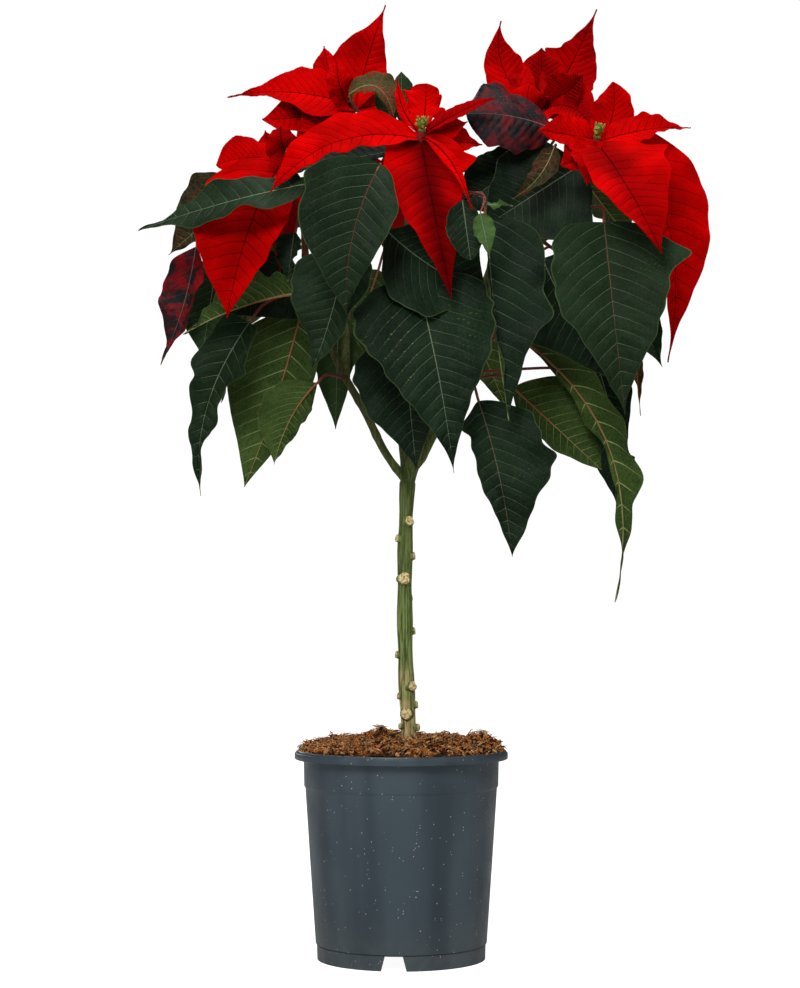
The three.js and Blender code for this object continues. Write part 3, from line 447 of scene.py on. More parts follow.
# Bits that have rolled out onto the lip, all the way round.
lip_angle = chance.uniform(0, 2 * np.pi, lip_bits)
lip_reach = chance.uniform(77.5, 84, lip_bits)
lip_places = np.stack([lip_reach * np.cos(lip_angle), lip_reach * np.sin(lip_angle), lip_top + 0 * lip_angle], -1)
lip_points, lip_faces, lip_shade = crumbs(lip_places, 0.3, 0.9, chance)
first_crumb = len(soil_points)
first_thread = first_crumb + len(crumb_points)
first_lip = first_thread + len(thread_points)
loose_faces = [crumb_faces + first_crumb, *(block + first_thread for block in thread_faces), lip_faces + first_lip]
soil = mesh_piece(
    "coir_soil",
    np.vstack([soil_points, crumb_points, thread_points, lip_points]),
    soil_faces + loose_faces,
    [peat],
    marks={"bit_tone_and_gap_shade": np.concatenate([
        # The mound's own skin is nearly black: painted shade in the deep gaps between the crumbs and fibres, whose
        # tones differ at random.
        0.10 + 0.2 * ripples(soil_points[:, 0], soil_points[:, 1], 12, 5, 20, np.random.default_rng(3)),
        crumb_shade, thread_shade, 0.3 + 0.6 * lip_shade,
    ])},
    crease=55,
)
stands_for(soil, "soil", "soil")

# ---- stem ----
# One green stem, woody at its foot, that forks above a bare trunk into six flowering shoots. Its skin is ribbed
# lengthwise, and round pale scars and short stubs show where lower leaves and side shoots were taken off.
def bent_line(points, count):
    """A smooth line through the points, read at so many places an even way apart: a Catmull-Rom curve that spends on
    each stretch the root of the stretch's length."""
    p = np.asarray(points, dtype=float)
    p = np.vstack([2 * p[0] - p[1], p, 2 * p[-1] - p[-2]])
    spent = np.linalg.norm(np.diff(p, axis=0), axis=1)[:, None] ** 0.5
    a, b, c, d = p[:-3], p[1:-2], p[2:-1], p[3:]
    before, here, after = spent[:-2], spent[1:-1], spent[2:]
    leave = here * ((b - a) / before - (c - a) / (before + here) + (c - b) / here)
    reach = here * ((c - b) / here - (d - b) / (here + after) + (d - c) / after)
    t = np.linspace(0, 1, 33)[:-1, None, None]
    line = b + leave * t + (3 * (c - b) - 2 * leave - reach) * t**2 + (2 * (b - c) + leave + reach) * t**3
    line = np.vstack([line.transpose(1, 0, 2).reshape(-1, 3), p[-2:-1]])
    run = np.concatenate([[0], np.cumsum(np.linalg.norm(np.diff(line, axis=0), axis=1))])
    return at_share(line, np.linspace(0, 1, count), run / run[-1])


def at_share(line, share, known=None):
    """Points at the given shares of a line, whose own points lie at known shares, or else an even way apart."""
    known = np.linspace(0, 1, len(line)) if known is None else known
    return np.stack([np.interp(share, known, line[:, axis]) for axis in range(3)], -1)


def unit(way):
    """The same direction with length one."""
    way = np.asarray(way, dtype=float)
    return way / np.linalg.norm(way, axis=-1, keepdims=True)


def tube(line, radius, sides):
    """A closed skin round a line: point = line + radius (side cos a + over sin a), where side is square to the line
    and to one fixed axis, and over is square to both. The radius may change along the line and round it."""
    way = unit(np.gradient(line, axis=0))
    fixed = np.eye(3)[np.abs(way).max(0).argmin()]
    side = unit(np.cross(way, fixed))[:, None]
    over = np.cross(way[:, None], side)
    a = np.linspace(0, 2 * np.pi, sides, endpoint=False)[None, :, None]
    r = np.broadcast_to(np.reshape(radius, (len(line), -1)), (len(line), sides))[..., None]
    return capped(line[:, None] + r * (side * np.cos(a) + over * np.sin(a)), line[[0, -1]])


def gathered(bodies):
    """Several bodies in one mesh, each a (points, faces, finish of each block of faces, marks): a body's corner
    numbers go up by the number of points before it."""
    first, points, faces, finish_of, marks = 0, [], [], [], {}
    for body_points, body_faces, finishes, body_marks in bodies:
        points.append(body_points)
        for block, finish in zip(body_faces, finishes):
            faces.append(np.asarray(block) + first)
            finish_of.append(np.full(len(block), finish))
        for mark, values in body_marks.items():
            marks.setdefault(mark, []).append(values)
        first += len(body_points)
    marks = {mark: np.concatenate(values) for mark, values in marks.items()}
    return {"points": np.vstack(points), "faces": faces, "finish_of": np.concatenate(finish_of), "marks": marks}


# Each flowering shoot: the middle of its flower cups, and the way it points.
shoot_tips = {
    "left": ((-92, -21, 639), unit((-0.4, -0.35, 0.85))),
    "back_left": ((-42, 26, 691), unit((-0.1, -0.4, 0.9))),
    "centre": ((16, -58, 651), unit((0.1, -0.5, 0.85))),
    "right": ((154, -46, 648), unit((0.2, -0.45, 0.87))),
    "back_right": ((116, 21, 685), unit((0.05, 0.05, 0.99))),
    "back": ((6, 112, 645), unit((0, 0.6, 0.8))),
}
core_length = 16.0


def to_shoot(name):
    """The last two points of a branch: 14 under the foot of its shoot's red core, and 1 inside it."""
    centre, axis = shoot_tips[name]
    return [tuple(np.asarray(centre) - (core_length + under) * axis) for under in (14, -1)]


fork = (5, 0, 378)
branch_points = {
    "trunk": [(4, 0, 96), (6, 0, 172), (3.4, 0, 236), (3, 0, 316), (4.3, 0, 364), fork],
    "left": [
        fork, (-13, -4, 403), (-29, -8, 435), (-45, -10, 463), (-57, -10, 489), (-75, -8, 545), *to_shoot("left"),
    ],
    "backLeft": [(-45, -10, 463), (-44, 18, 510), (-38, 36, 571), (-37, 44, 624), *to_shoot("back_left")],
    "centre": [fork, (14, -8, 415), (16, -13, 470), (14, -16, 540), (12, -26, 584), *to_shoot("centre")],
    "right": [
        (7, -1, 387), (15, 1, 397), (27, 5, 420), (66, 10, 490), (106, 3, 568), (134, -14, 590), *to_shoot("right"),
    ],
    "backRight": [(27, 5, 418), (48, 39, 481), (79, 57, 572), (102, 38, 625), *to_shoot("back_right")],
    "back": [(5, 0, 380), (2, 18, 404), (-2, 52, 461), (2, 80, 543), (5, 88, 590), *to_shoot("back")],
}
branch_radii = {
    "trunk": (6.4, 5.6), "left": (3.2, 2.7), "backLeft": (3.6, 3), "centre": (5.7, 3.2), "right": (3.9, 3.2),
    "backRight": (3.8, 3), "back": (3.7, 3),
}
branch_line = {name: bent_line(points, 121) for name, points in branch_points.items()}

stem_bodies = []
for name, line in branch_line.items():
    low, high = branch_radii[name]
    bare = name == "trunk"
    sides = 60 if bare else 26
    if bare:
        crotch = np.array(fork) + np.outer((1.5, 3, 4.2, 5), (0.1, 0, 1))
        line = np.vstack([bent_line(branch_points[name], 200), crotch])
    share = np.linspace(0, 1, len(line))[:, None]
    a = np.linspace(0, 2 * np.pi, sides, endpoint=False)[None, :]
    radius = low + (high - low) * share + 0 * a
    if bare:
        radius = radius + 0.35 * np.sin(34 * share) + 0.3 * np.exp(-((share - 0.985) ** 2) / 0.0012)
        ribs = np.sin(9 * a + 5 * np.sin(4 * share)) + np.sin(14 * a - 9 * share + 1)
        ribs = ribs + np.sin(23 * a + 11 * share + 2)
        radius = radius + 0.13 * ribs + 0.18 * ripples(3 * a, 60 * share, 8, 2, 9, np.random.default_rng(8))
        radius[-4:] *= np.array([0.93, 0.8, 0.55, 0.2])[:, None]
    else:
        length = np.linalg.norm(np.diff(line, axis=0), axis=1).sum()
        knots = np.exp(-((((share * length) % 31) - 15.5) ** 2) / 9)
        radius = radius + 0.45 * knots + 0.07 * np.sin(7 * a + 3) + 0.05 * np.sin(11 * a + 9 * share)
    points, faces = tube(line, radius, sides)
    age = np.repeat(0.45 * share[:, 0] if bare else 0.5 * share[:, 0] + 0.5, sides)
    age = np.concatenate([age, age[:1], age[-1:]])
    stem_bodies.append((points, faces, (0, 0, 0), {"age": age, "scar": 0 * age}))

# Scars and stubs: (height, turn round the trunk, radius, how far out). Each is a short boss along its own way out.
trunk_scars = [
    (347, 0.45, 3.6, 1.4), (333, -1.3, 3, 1.6), (319, 1.4, 3, 1.8), (301, -0.1, 4.6, 1.4), (259, 1.5, 2.8, 2),
    (240, -1.4, 2.8, 1.8), (215, 0.7, 3.8, 2), (207, -1.4, 2.6, 1.6), (200, 1.4, 2.8, 2), (193, -0.2, 4.2, 1.2),
    (183, -1.2, 2.4, 1.8), (182, 1.3, 2.8, 2.8), (286, 2.7, 3.6, 1.6), (230, 3.3, 3.6, 1.6),
]
trunk_line, scar_sides, bark_at = branch_line["trunk"], 22, 6.2
for number, (height, turn, radius, proud) in enumerate(trunk_scars):
    middle = np.array([np.interp(height, trunk_line[:, 2], trunk_line[:, 0]), 0.0, height])
    out = np.array([np.sin(turn), -np.cos(turn), 0.12])
    top = bark_at + proud
    reach = np.array([0, 4.2, 5.4, 6.0, top - 0.9, top - 0.25, top, top + 0.02])
    swell = radius * np.array([1.0, 1.35, 1.25, 1.1, 1.04, 1.0, 0.86, 0.45])
    a = np.linspace(0, 2 * np.pi, scar_sides, endpoint=False)[None, :]
    rough = 1 + 0.06 * np.sin(3 * a + number) + 0.05 * np.sin(5 * a + 2 * number)
    points, faces = tube(middle + np.outer(reach, out), swell[:, None] * rough, scar_sides)
    face = np.repeat(np.array([0, 0, 0, 0, 0.25, 0.9, 1, 1.0]), scar_sides)
    marks = {"age": np.full(len(points), 0.3), "scar": np.concatenate([face, [0, 0.55]])}
    stem_bodies.append((points, faces, (0, 0, 0), marks))

bark, tree, shader, place = new_finish("ribbed_bark", 0.6, 0.2)
age = marked(tree, "age")
scar = marked(tree, "scar")
stretched = node(tree, "ShaderNodeMapping", {"Vector": place, "Scale": (1, 1, 0.07)}).outputs[0]
grain = noise(tree, stretched, 620.0, 4.0, 0.6)
cloud = noise(tree, place, 60.0, 3.0)
rib_shade = fade(tree, grain, 0.36, 0.64)
green_skin = tint(tree, rib_shade, (0.040, 0.082, 0.014), (0.26, 0.31, 0.090))
fresh_skin = tint(tree, rib_shade, (0.045, 0.070, 0.012), (0.13, 0.17, 0.045))
green_skin = tint(tree, fade(tree, age, 0.18, 0.42), green_skin, fresh_skin)
woody = tint(tree, rib_shade, (0.20, 0.14, 0.042), (0.78, 0.58, 0.28))
young = tint(tree, rib_shade, (0.040, 0.038, 0.012), (0.10, 0.10, 0.030))
skin = tint(tree, fade(tree, sums(tree, "MULTIPLY_ADD", cloud, -0.16, age), 0.02, 0.16), woody, green_skin)
skin = tint(tree, fade(tree, age, 0.5, 0.62), skin, young)
crack = fade(tree, noise(tree, stretched, 1700.0, 3.0), 0.62, 0.75)
skin = tint(tree, sums(tree, "MULTIPLY", crack, 0.6), skin, (0.60, 0.54, 0.34))
cork = tint(tree, fade(tree, noise(tree, place, 650.0, 4.0), 0.38, 0.56), (0.30, 0.17, 0.05), (0.86, 0.70, 0.36))
skin = tint(tree, scar, skin, cork)
coat(tree, shader, skin, sums(tree, "MULTIPLY_ADD", crack, 0.4, grain), 0.0005)

stem = mesh_piece("forked_stem", finishes=[bark], crease=50, **gathered(stem_bodies))
stands_for(stem, "stem", "stem")

# ---- leaves ----
# Dark green blades with a few blunt lobes, quilted between pale side veins, each on a red stalk that runs on under
# the blade as its midrib. Many hang below the flowers, and some turn up their paler, strongly veined backs.


def on_blade(
    u, v, lift, base, tip, wide, face, bow=(0, 0, 0), peak=0.33, power=2.4, teeth=(), thin=0.2, fold=0.2, cup=0.15,
    wave=(2.5, 1.6, 0.4), veins=8, quilt=0.8, frill=1.0, number=0, **others
):
    """A point of a blade, u from its base to its tip and v from edge to edge. The middle line is base + u (tip -
    base) + bow 4u(1 - u). The half-width is wide u^rise (1 - u)^fall, and each tooth adds a soft ramp that ends
    sharply. Each half bends up by fold + cup |v|, the edges ripple, and the skin swells between the side veins. Also
    gives the count of veins passed, the distance from the midrib and the distance from the base, in millimetres."""
    u, v = np.broadcast_arrays(np.asarray(u, dtype=float), np.asarray(v, dtype=float))
    base, tip, bow, face = (np.asarray(way, dtype=float) for way in (base, tip, bow, face))
    reach, hand, length = np.abs(v), np.sign(v), np.linalg.norm(tip - base)
    along = 4 * u * (1 - u)
    middle = base + u[..., None] * (tip - base) + bow * along[..., None]
    way = unit(tip - base + bow * (4 - 8 * u)[..., None])
    normal = unit(face - way * (way @ face)[..., None])
    side = np.cross(normal, way)
    rise, fall = power * peak, power * (1 - peak)
    half = np.where(v < 0, wide[0], wide[1]) * u**rise * (1 - u) ** fall / (peak**rise * (1 - peak) ** fall)
    for at, tooth_side, height in teeth:
        before = np.clip((u - at + 0.13) / 0.13, 0, 1)
        after = np.clip((u - at) / 0.07, 0, 1)
        ramp = (before**2 * (3 - 2 * before)) ** 2 * (1 - after**2 * (3 - 2 * after))
        half = half + np.where(tooth_side * v > 0, height, 0) * ramp
    lot = np.random.default_rng(number)
    half = np.maximum(half * (1 + (0.07 + 0.035 * frill) * ripples(70 * u, 9 * v, 5, 7, 26, lot)), thin)
    turn = fold + cup * reach
    flat, lifted = (np.sin(turn) - np.sin(fold)) / cup, (np.cos(fold) - np.cos(turn)) / cup
    size, count, start = wave
    edge = size * reach**2 * np.sin(2 * np.pi * count * u + start + np.where(v > 0, 1.3, 0)) * np.sqrt(along)
    depth, beats, shift = lot.uniform(0.7, 1.4), lot.uniform(4, 6.5), lot.uniform(0, 6)
    ruffle = frill * depth * reach**3 * np.sin(2 * np.pi * beats * u + shift + 2 * hand)
    across = half * v
    crumple = min(3.2, max(wide) / 8) * ripples(across, length * u, 6, 20, 55, lot) * np.minimum(1, 3 * reach)
    lag = (0.55 * np.abs(across) + 0.25 * across**2 / max(wide)) / length
    passed = veins * (u - lag) + lot.uniform(-0.4, 0.4) * v
    pillow = quilt * (0.5 - 0.5 * np.cos(2 * np.pi * passed)) * (1 - 0.6 * reach**4) * np.minimum(1, 4 * reach)
    up = half * lifted + edge + (ruffle + crumple + pillow) * np.sqrt(along)
    roll = hand * turn
    outward = normal * np.cos(roll)[..., None] - side * np.sin(roll)[..., None]
    skin = middle + side * (half * flat * hand)[..., None] + normal * up[..., None]
    return skin + outward * np.reshape(lift, (-1, 1, 1)), passed, across, length * u


blade_thick, rib_spread, stalk_rings, stalk_sides = 0.5, 15, 40, 8


def blade_body(blade, rows, columns, tone):
    """One closed blade: a back sheet and a face sheet of rows by columns points, half the thickness each side of the
    middle, with a wall round them. Its tone rises near the midrib by a given share, as painted shade in the fold
    there."""
    face_finish, valley, red_rib = (blade.get(key, 0) for key in ("skin", "valley", "red_rib"))
    u, v = np.linspace(0, 1, rows)[:, None], np.linspace(-1, 1, columns)[None, :]
    sheets = [on_blade(u, v, side * blade_thick / 2, **blade) for side in (-1, 1)]
    points = np.vstack([sheet[0].reshape(-1, 3) for sheet in sheets])
    upper = rows * columns
    cells = grid_faces(rows, columns)
    ends = np.concatenate([
        np.arange(columns)[::-1], np.arange(1, rows) * columns, (rows - 1) * columns + np.arange(1, columns),
        np.arange(rows - 1)[:0:-1] * columns + columns - 1,
    ])
    wall = np.stack([ends, np.roll(ends, -1), np.roll(ends, -1) + upper, ends + upper], 1)
    marks = {
        "veins": np.vstack([np.stack([s[1], v + 0 * u, u + 0 * v], -1).reshape(-1, 3) for s in sheets]),
        "cut": np.vstack([np.stack([s[2] * 0.001, s[3] * 0.001, 0 * s[2]], -1).reshape(-1, 3) for s in sheets]),
        # Painted shade: near the midrib the tone rises by the given share, darkening the fold there.
        "tone": np.concatenate([tone + valley * np.exp(-((s[2] / rib_spread) ** 2)).ravel() for s in sheets]),
        "red_rib": np.full(2 * upper, float(red_rib)),
    }
    return points, [cells, cells[:, ::-1] + upper, wall], (1, face_finish, face_finish), marks


def plain_marks(tones):
    """The marks of a round part, which has tones and no veins."""
    none = np.zeros((len(tones), 3))
    return {"veins": none, "cut": none, "tone": tones, "red_rib": none[:, 0]}


def stalk_body(root, blade, thick):
    """The stalk: a tube from its root through a bend to the blade, and on under the midrib nearly to the tip, where
    it has thinned from its full radius to an eighth."""
    u = np.array([0.0, 0.08, 0.2, 0.4, 0.6, 0.78, 0.93])
    under = thick * np.interp(u, [0, 0.1, 1], [0.75, 0.5, 0.12])
    rib = np.stack([on_blade(share, 0.0, -0.1 - r, **blade)[0].reshape(3) for share, r in zip(u, under)])
    root, lead, via = np.asarray(root, dtype=float), unit(rib[0] - rib[1]), blade.get("via")
    bend = rib[0] + lead * 0.25 * np.linalg.norm(root - rib[0]) if via is None else np.asarray(via, dtype=float)
    line = bent_line(np.vstack([root, bend, rib]), stalk_rings)
    free = np.linalg.norm(np.diff(np.vstack([root, bend, rib[0]]), axis=0), axis=1).sum()
    share = free / (free + np.linalg.norm(np.diff(rib, axis=0), axis=1).sum())
    run = np.linspace(0, 1, stalk_rings)
    radius = thick * np.interp(run, [0, 0.06, share, share + 0.1 * (1 - share), 1], [1.3, 0.85, 0.75, 0.5, 0.12])
    points, faces = tube(line, radius, stalk_sides)
    tones = np.concatenate([np.repeat(np.interp(run, [0, share, 1], [0, 0.5, 1]), stalk_sides), [0, 1]])
    return points, faces, (2, 2, 2), plain_marks(tones)


# The pattern of a blade's veins, as a group: midrib, side veins and the fine net between them, from 0 to 1.
vein_net = bpy.data.node_groups.new("vein_net", "ShaderNodeTree")
for socket in ("Width", "Net Size"):
    vein_net.interface.new_socket(socket, in_out="INPUT", socket_type="NodeSocketFloat")
for socket in ("Midrib", "Side Veins", "Net", "Edge"):
    vein_net.interface.new_socket(socket, in_out="OUTPUT", socket_type="NodeSocketFloat")
net_in, net_out = node(vein_net, "NodeGroupInput"), node(vein_net, "NodeGroupOutput")
cut_mark = marked(vein_net, "cut", "Vector")
vein_parts = node(vein_net, "ShaderNodeSeparateXYZ", {0: marked(vein_net, "veins", "Vector")})
passed, edge_share, tip_share = vein_parts.outputs
reach = sums(vein_net, "ABSOLUTE", edge_share)


def thin_line(distance, width, core):
    """1 on the line, falling to 0 between the core's share of its width and the whole."""
    return fade(vein_net, sums(vein_net, "DIVIDE", distance, width), core, 1.0, 1.0, 0.0)


from_vein = sums(vein_net, "PINGPONG", passed, 0.5)
vein_width = sums(vein_net, "MULTIPLY", net_in.outputs["Width"], fade(vein_net, reach, 0.0, 1.0, 1.0, 0.35))
side_vein = thin_line(from_vein, vein_width, 0.2)
side_vein = sums(vein_net, "MULTIPLY", side_vein, fade(vein_net, reach, 0.82, 1.0, 1.0, 0.0))
across = node(vein_net, "ShaderNodeSeparateXYZ", {0: cut_mark}).outputs[0]
rib_width = fade(vein_net, tip_share, 0.0, 1.0, 0.0008, 0.00025)
midrib = thin_line(sums(vein_net, "ABSOLUTE", across), rib_width, 0.35)
web_feeds = {"Vector": cut_mark, "Scale": net_in.outputs["Net Size"]}
web = node(vein_net, "ShaderNodeTexVoronoi", web_feeds, feature="DISTANCE_TO_EDGE")
fine = fade(vein_net, web.outputs["Distance"], 0.0, 0.16, 1.0, 0.0)
rim = fade(vein_net, reach, 0.975, 0.995, 0.0, 0.55)
for socket, value in (("Midrib", midrib), ("Side Veins", side_vein), ("Net", fine), ("Edge", rim)):
    vein_net.links.new(value, net_out.inputs[socket])


def blade_finish(
    name, deep, light, vein, roughness, width, shown, specular, toned=None, net_size=330.0, relief=0.0005,
    raised=False, blotch=None, edge=None,
):
    """A blade's skin: a clouded ground between two colours, turned towards a third by the piece's tone, with the
    veins laid over it at the shown shares and pressed into it, or standing out of it where raised. The edge is a thin
    line."""
    finish, tree, shader, place = new_finish(name, roughness, specular)
    net = node(tree, "ShaderNodeGroup", {"Width": width, "Net Size": net_size}, node_tree=vein_net)
    colour = tint(tree, fade(tree, noise(tree, place, 28.0, 4.0), 0.3, 0.75), deep, light)
    if blotch:
        patch = fade(tree, noise(tree, place, 75.0, 5.0, 0.6), 0.42, 0.62)
        colour = tint(tree, patch, colour, blotch)
    if toned:
        colour = tint(tree, marked(tree, "tone"), colour, toned)
    midrib_colour = tint(tree, marked(tree, "red_rib"), vein, (0.16, 0.018, 0.014))
    for output, share, ink in zip(("Net", "Side Veins", "Midrib"), shown[::-1], (vein, vein, midrib_colour)):
        colour = tint(tree, sums(tree, "MULTIPLY", net.outputs[output], share), colour, ink)
    if edge:
        colour = tint(tree, net.outputs["Edge"], colour, edge)
    way = 1.0 if raised else -1.0
    height = sums(tree, "MULTIPLY", noise(tree, place, 500.0, 3.0), 0.3)
    for output, share in (("Net", 0.1), ("Side Veins", 0.9), ("Midrib", 1.0)):
        height = sums(tree, "MULTIPLY_ADD", net.outputs[output], share * way, height)
    coat(tree, shader, colour, height, relief)
    return finish


green_face = blade_finish(
    "green_leaf_face", (0.0030, 0.0100, 0.0042), (0.0085, 0.0235, 0.0095), (0.25, 0.30, 0.19), 0.55, width=0.036,
    shown=(0.6, 0.5, 0.025), toned=(0.065, 0.130, 0.032), edge=(0.09, 0.13, 0.045), specular=0.07,
)
green_back = blade_finish(
    "green_leaf_back", (0.022, 0.050, 0.009), (0.046, 0.084, 0.017), (0.34, 0.38, 0.15), 0.65, width=0.06,
    shown=(0.8, 0.75, 0.08), raised=True, edge=(0.16, 0.20, 0.06), specular=0.06, toned=(0.10, 0.16, 0.05),
)
mottled_face = blade_finish(
    "turning_leaf_face", (0.006, 0.009, 0.009), (0.022, 0.007, 0.010), (0.20, 0.17, 0.15), 0.55, width=0.036,
    shown=(0.6, 0.4, 0.02), blotch=(0.22, 0.001, 0.005), edge=(0.22, 0.008, 0.012), specular=0.06,
    toned=(0.006, 0.008, 0.011),
)
bronze_face = blade_finish(
    "bronze_leaf_face", (0.028, 0.022, 0.006), (0.060, 0.048, 0.014), (0.34, 0.29, 0.11), 0.6, width=0.045,
    shown=(0.8, 0.7, 0.08), blotch=(0.12, 0.022, 0.008), edge=(0.12, 0.07, 0.025), specular=0.06,
    toned=(0.006, 0.010, 0.006),
)
leaf_stalk, tree, shader, place = new_finish("red_leaf_stalk", 0.5, 0.25)
along_stalk = marked(tree, "tone")
stalk_red = tint(tree, noise(tree, place, 90.0), (0.085, 0.012, 0.012), (0.22, 0.045, 0.026))
stalk_colour = tint(tree, fade(tree, along_stalk, 0.44, 0.54), stalk_red, (0.30, 0.105, 0.040))
stalk_colour = tint(tree, fade(tree, along_stalk, 0.6, 0.95), stalk_colour, (0.26, 0.22, 0.07))
coat(tree, shader, stalk_colour, noise(tree, place, 700.0), 0.0003)

leaf_faces = {
    "green_leaf": green_face, "light_leaf": green_face, "mottled_leaf": mottled_face, "bronze_leaf": bronze_face,
}
leaf_number = 0


def leaf(name, branch, at, base, tip, wide, face, slot="green_leaf", tone=0.0, sister=None, **more):
    """A leaf on its stalk, from a share of the way up a branch: where its blade starts and ends, its half-widths and
    the way its upper face looks. Two small blades on one shoot are a leaf and its sister."""
    global leaf_number
    bodies = []
    for blade in [dict(base=base, tip=tip, wide=wide, face=face, **more)] + ([sister] if sister else []):
        leaf_number += 1
        veins, quilt, rows, columns = (13, 0.7, 84, 25) if max(blade["wide"]) > 20 else (9, 0.3, 40, 15)
        blade = {"veins": veins, "quilt": quilt, "number": leaf_number, **blade}
        bodies.append(blade_body(blade, rows, columns, tone))
        bodies.append(stalk_body(at_share(branch_line[branch], at), blade, blade.get("stalk", 1.5)))
    finishes = [leaf_faces[slot], green_back, leaf_stalk, bronze_face]
    piece = mesh_piece(name.replace("leaf_", "blade_", 1) + "_grown", finishes=finishes, **gathered(bodies))
    stands_for(piece, slot, name)


# The ways that most upper faces look.
front, upward, backward = (0, -0.95, 0.3), (0, -0.7, 0.7), (0, 0.6, 0.8)
leaf("leaf_left_long", "left", 0.78, (-74, -93, 603), (-202, -88, 568), (19, 21), (0, -0.8, 0.6), bow=(0, 0, 3),
     fold=0.1, peak=0.3, power=1.6, wave=(6, 1.7, 2.5), frill=1.8, tone=0.05)
leaf("leaf_front_left", "centre", 0.86, (-16, -114, 615), (-41, -122, 499), (47, 28), (0.1, -0.95, 0.25),
     bow=(-8, -13, 0), peak=0.33, power=2.2, fold=0.18, teeth=[[0.27, -1, 4]], via=(-16, -72, 613), quilt=1.2,
     frill=0.6, red_rib=0.9, tone=0.03)
leaf("leaf_left_teal", "left", 0.5, (-43, -83, 555), (-71, -91, 453), (38, 31), (-0.3, -0.9, 0.3), bow=(4, -8, 0),
     peak=0.28, power=2.6, fold=0.3, wave=[4, 2, 1], quilt=1.4, tone=0.04)
leaf("leaf_centre_shade", "centre", 0.7, (-12, -75, 571), (66, -80, 520), (44, 50), front, bow=(-4, -5, -4),
     peak=0.52, fold=0.1)
leaf("leaf_front_large", "centre", 0.5, (12, -78, 531), (40, -101, 381), (56, 53), (0, -0.97, 0.2), bow=(2, -18, 0),
     peak=0.22, power=2.2, fold=0.15, wave=[3.5, 2.4, 1], quilt=1.8, veins=15, frill=1.8)
leaf("leaf_centre_low", "centre", 0.34, (1, -47, 491), (12, -57, 384), (43, 32), (-0.1, -0.97, 0.2), bow=(0, -8, 0),
     peak=0.32)
leaf("leaf_left_edge", "left", 0.62, (-77, -60, 524), (-168, -81, 489), (24, 24), (0, 0.3, 0.95), bow=(0, 0, 6),
     fold=0.75, quilt=1.8, frill=2.2, slot="light_leaf")
leaf("leaf_left_droop", "left", 0.66, (-119, -47, 502), (-155, -68, 365), (21, 16), (-0.2, -0.95, 0.2),
     bow=(-14, -5, 0), peak=0.16, power=1.7, fold=0.3, wave=(5, 2.6, 1),
     teeth=[[0.3, -1, 8], [0.3, 1, 13], [0.56, 1, 4]], frill=3.4, quilt=1.5, tone=0.05)
leaf("leaf_left_under", "left", 0.56, (-80, -18, 514), (-123, -44, 373), (24, 46), (0, 0.95, 0.3), bow=(3, 0, 0),
     peak=0.32, power=1.7, quilt=1.8, veins=12, slot="light_leaf")
leaf("leaf_left_inner", "left", 0.36, (-66, -34, 456), (-99, -57, 390), (11, 29), (0.2, 0.93, 0.3), bow=(-4, 0, 4),
     peak=0.42, quilt=1.5, frill=2.2, slot="light_leaf")
leaf("leaf_left_behind", "left", 0.66, (-51, 18, 523), (-53, 8, 422), (20, 15), (0, -0.95, 0.2), peak=0.36, power=2,
     tone=0.4)
leaf("leaf_left_mottled", "left", 0.9, (-162, -39, 563), (-188, -52, 468), (22, 15), (-0.5, -0.85, 0.2),
     bow=(4, 0, 0), wave=[4, 2.2, 0], slot="mottled_leaf")
leaf("leaf_left_olive", "left", 0.84, (-147, -16, 556), (-158, -29, 474), (36, 23), (-0.2, -0.95, 0.2), tone=0.2)
leaf("leaf_left_vein", "left", 0.7, (-84, -2, 553), (-138, -2, 512), (30, 46), (0, -0.9, 0.4))
leaf("leaf_left_bronze", "left", 0.95, (-126, -4, 616), (-187, -8, 561), (36, 20), (-0.2, -0.95, 0.2), frill=1.8,
     slot="bronze_leaf", tone=0.75)
leaf("leaf_right_large", "right", 0.84, (157, -73, 577), (170, -101, 426), (48, 49), (0, -0.97, 0.2),
     bow=(-2, -16, 0), peak=0.28, power=2.1, teeth=[[0.24, 1, 14]], quilt=1.5, veins=14, red_rib=0.7, tone=0.07)
leaf("leaf_right_folded", "centre", 0.78, (65, -86, 579), (82, -99, 421), (6, 43), (0.55, -0.83, 0), bow=(-2, -5, 0),
     peak=0.26, power=1.7, fold=0.55, teeth=[[0.33, 1, 5], [0.53, 1, 6]], quilt=1.2, frill=1.8)
leaf("leaf_centre_small", "centre", 0.84, (46, -120, 586), (52, -126, 540), (16, 13), (0, -0.98, 0.1), peak=0.5,
     power=1.4, via=(55, -84, 582), stalk=0.9)
leaf("leaf_right_shade", "right", 0.97, (142, -27, 630), (66, -39, 579), (44, 57), front, peak=0.4, power=1.9)
leaf("leaf_right_dark", "right", 0.8, (106, 0, 640), (47, -10, 601), (27, 38), (0, -0.9, 0.4), peak=0.45, power=1.7)
leaf("leaf_right_mid", "right", 0.66, (111, -44, 553), (166, -57, 455), (60, 38), front, bow=(-4, 0, 0), power=1.8,
     peak=0.24, quilt=1.3)
leaf("leaf_right_trailing", "right", 0.4, (96, -21, 491), (164, -75, 283), (27, 6), (-0.4, 0.9, 0.1),
     bow=(32, -10, 14), peak=0.34, power=2.8, wave=[4, 2.6, 1], teeth=[[0.62, -1, 5]], frill=2.8, quilt=1.8,
     slot="light_leaf")
leaf("leaf_right_under", "right", 0.28, (89, -24, 453), (158, -34, 387), (36, 17), (0, 0.95, 0.3), peak=0.4,
     power=1.8, quilt=1.6, slot="light_leaf")
leaf("leaf_right_low", "right", 0.2, (60, -65, 439), (85, -81, 318), (17, 42), (0, -0.97, 0.2), bow=(3, -8, 0),
     peak=0.36, power=2.1, wave=[3.5, 3, 1], teeth=[[0.14, -1, 9], [0.44, 1, 4]], frill=2.4, quilt=1.4, red_rib=0.5,
     tone=0.02)
leaf("leaf_right_behind", "backRight", 0.3, (152, 13, 500), (182, 0, 391), (23, 22), (0, -0.95, 0.2))
leaf("leaf_right_far", "right", 0.76, (182, -13, 530), (208, -18, 470), (20, 16), (0, -0.95, 0.2), tone=0.15)
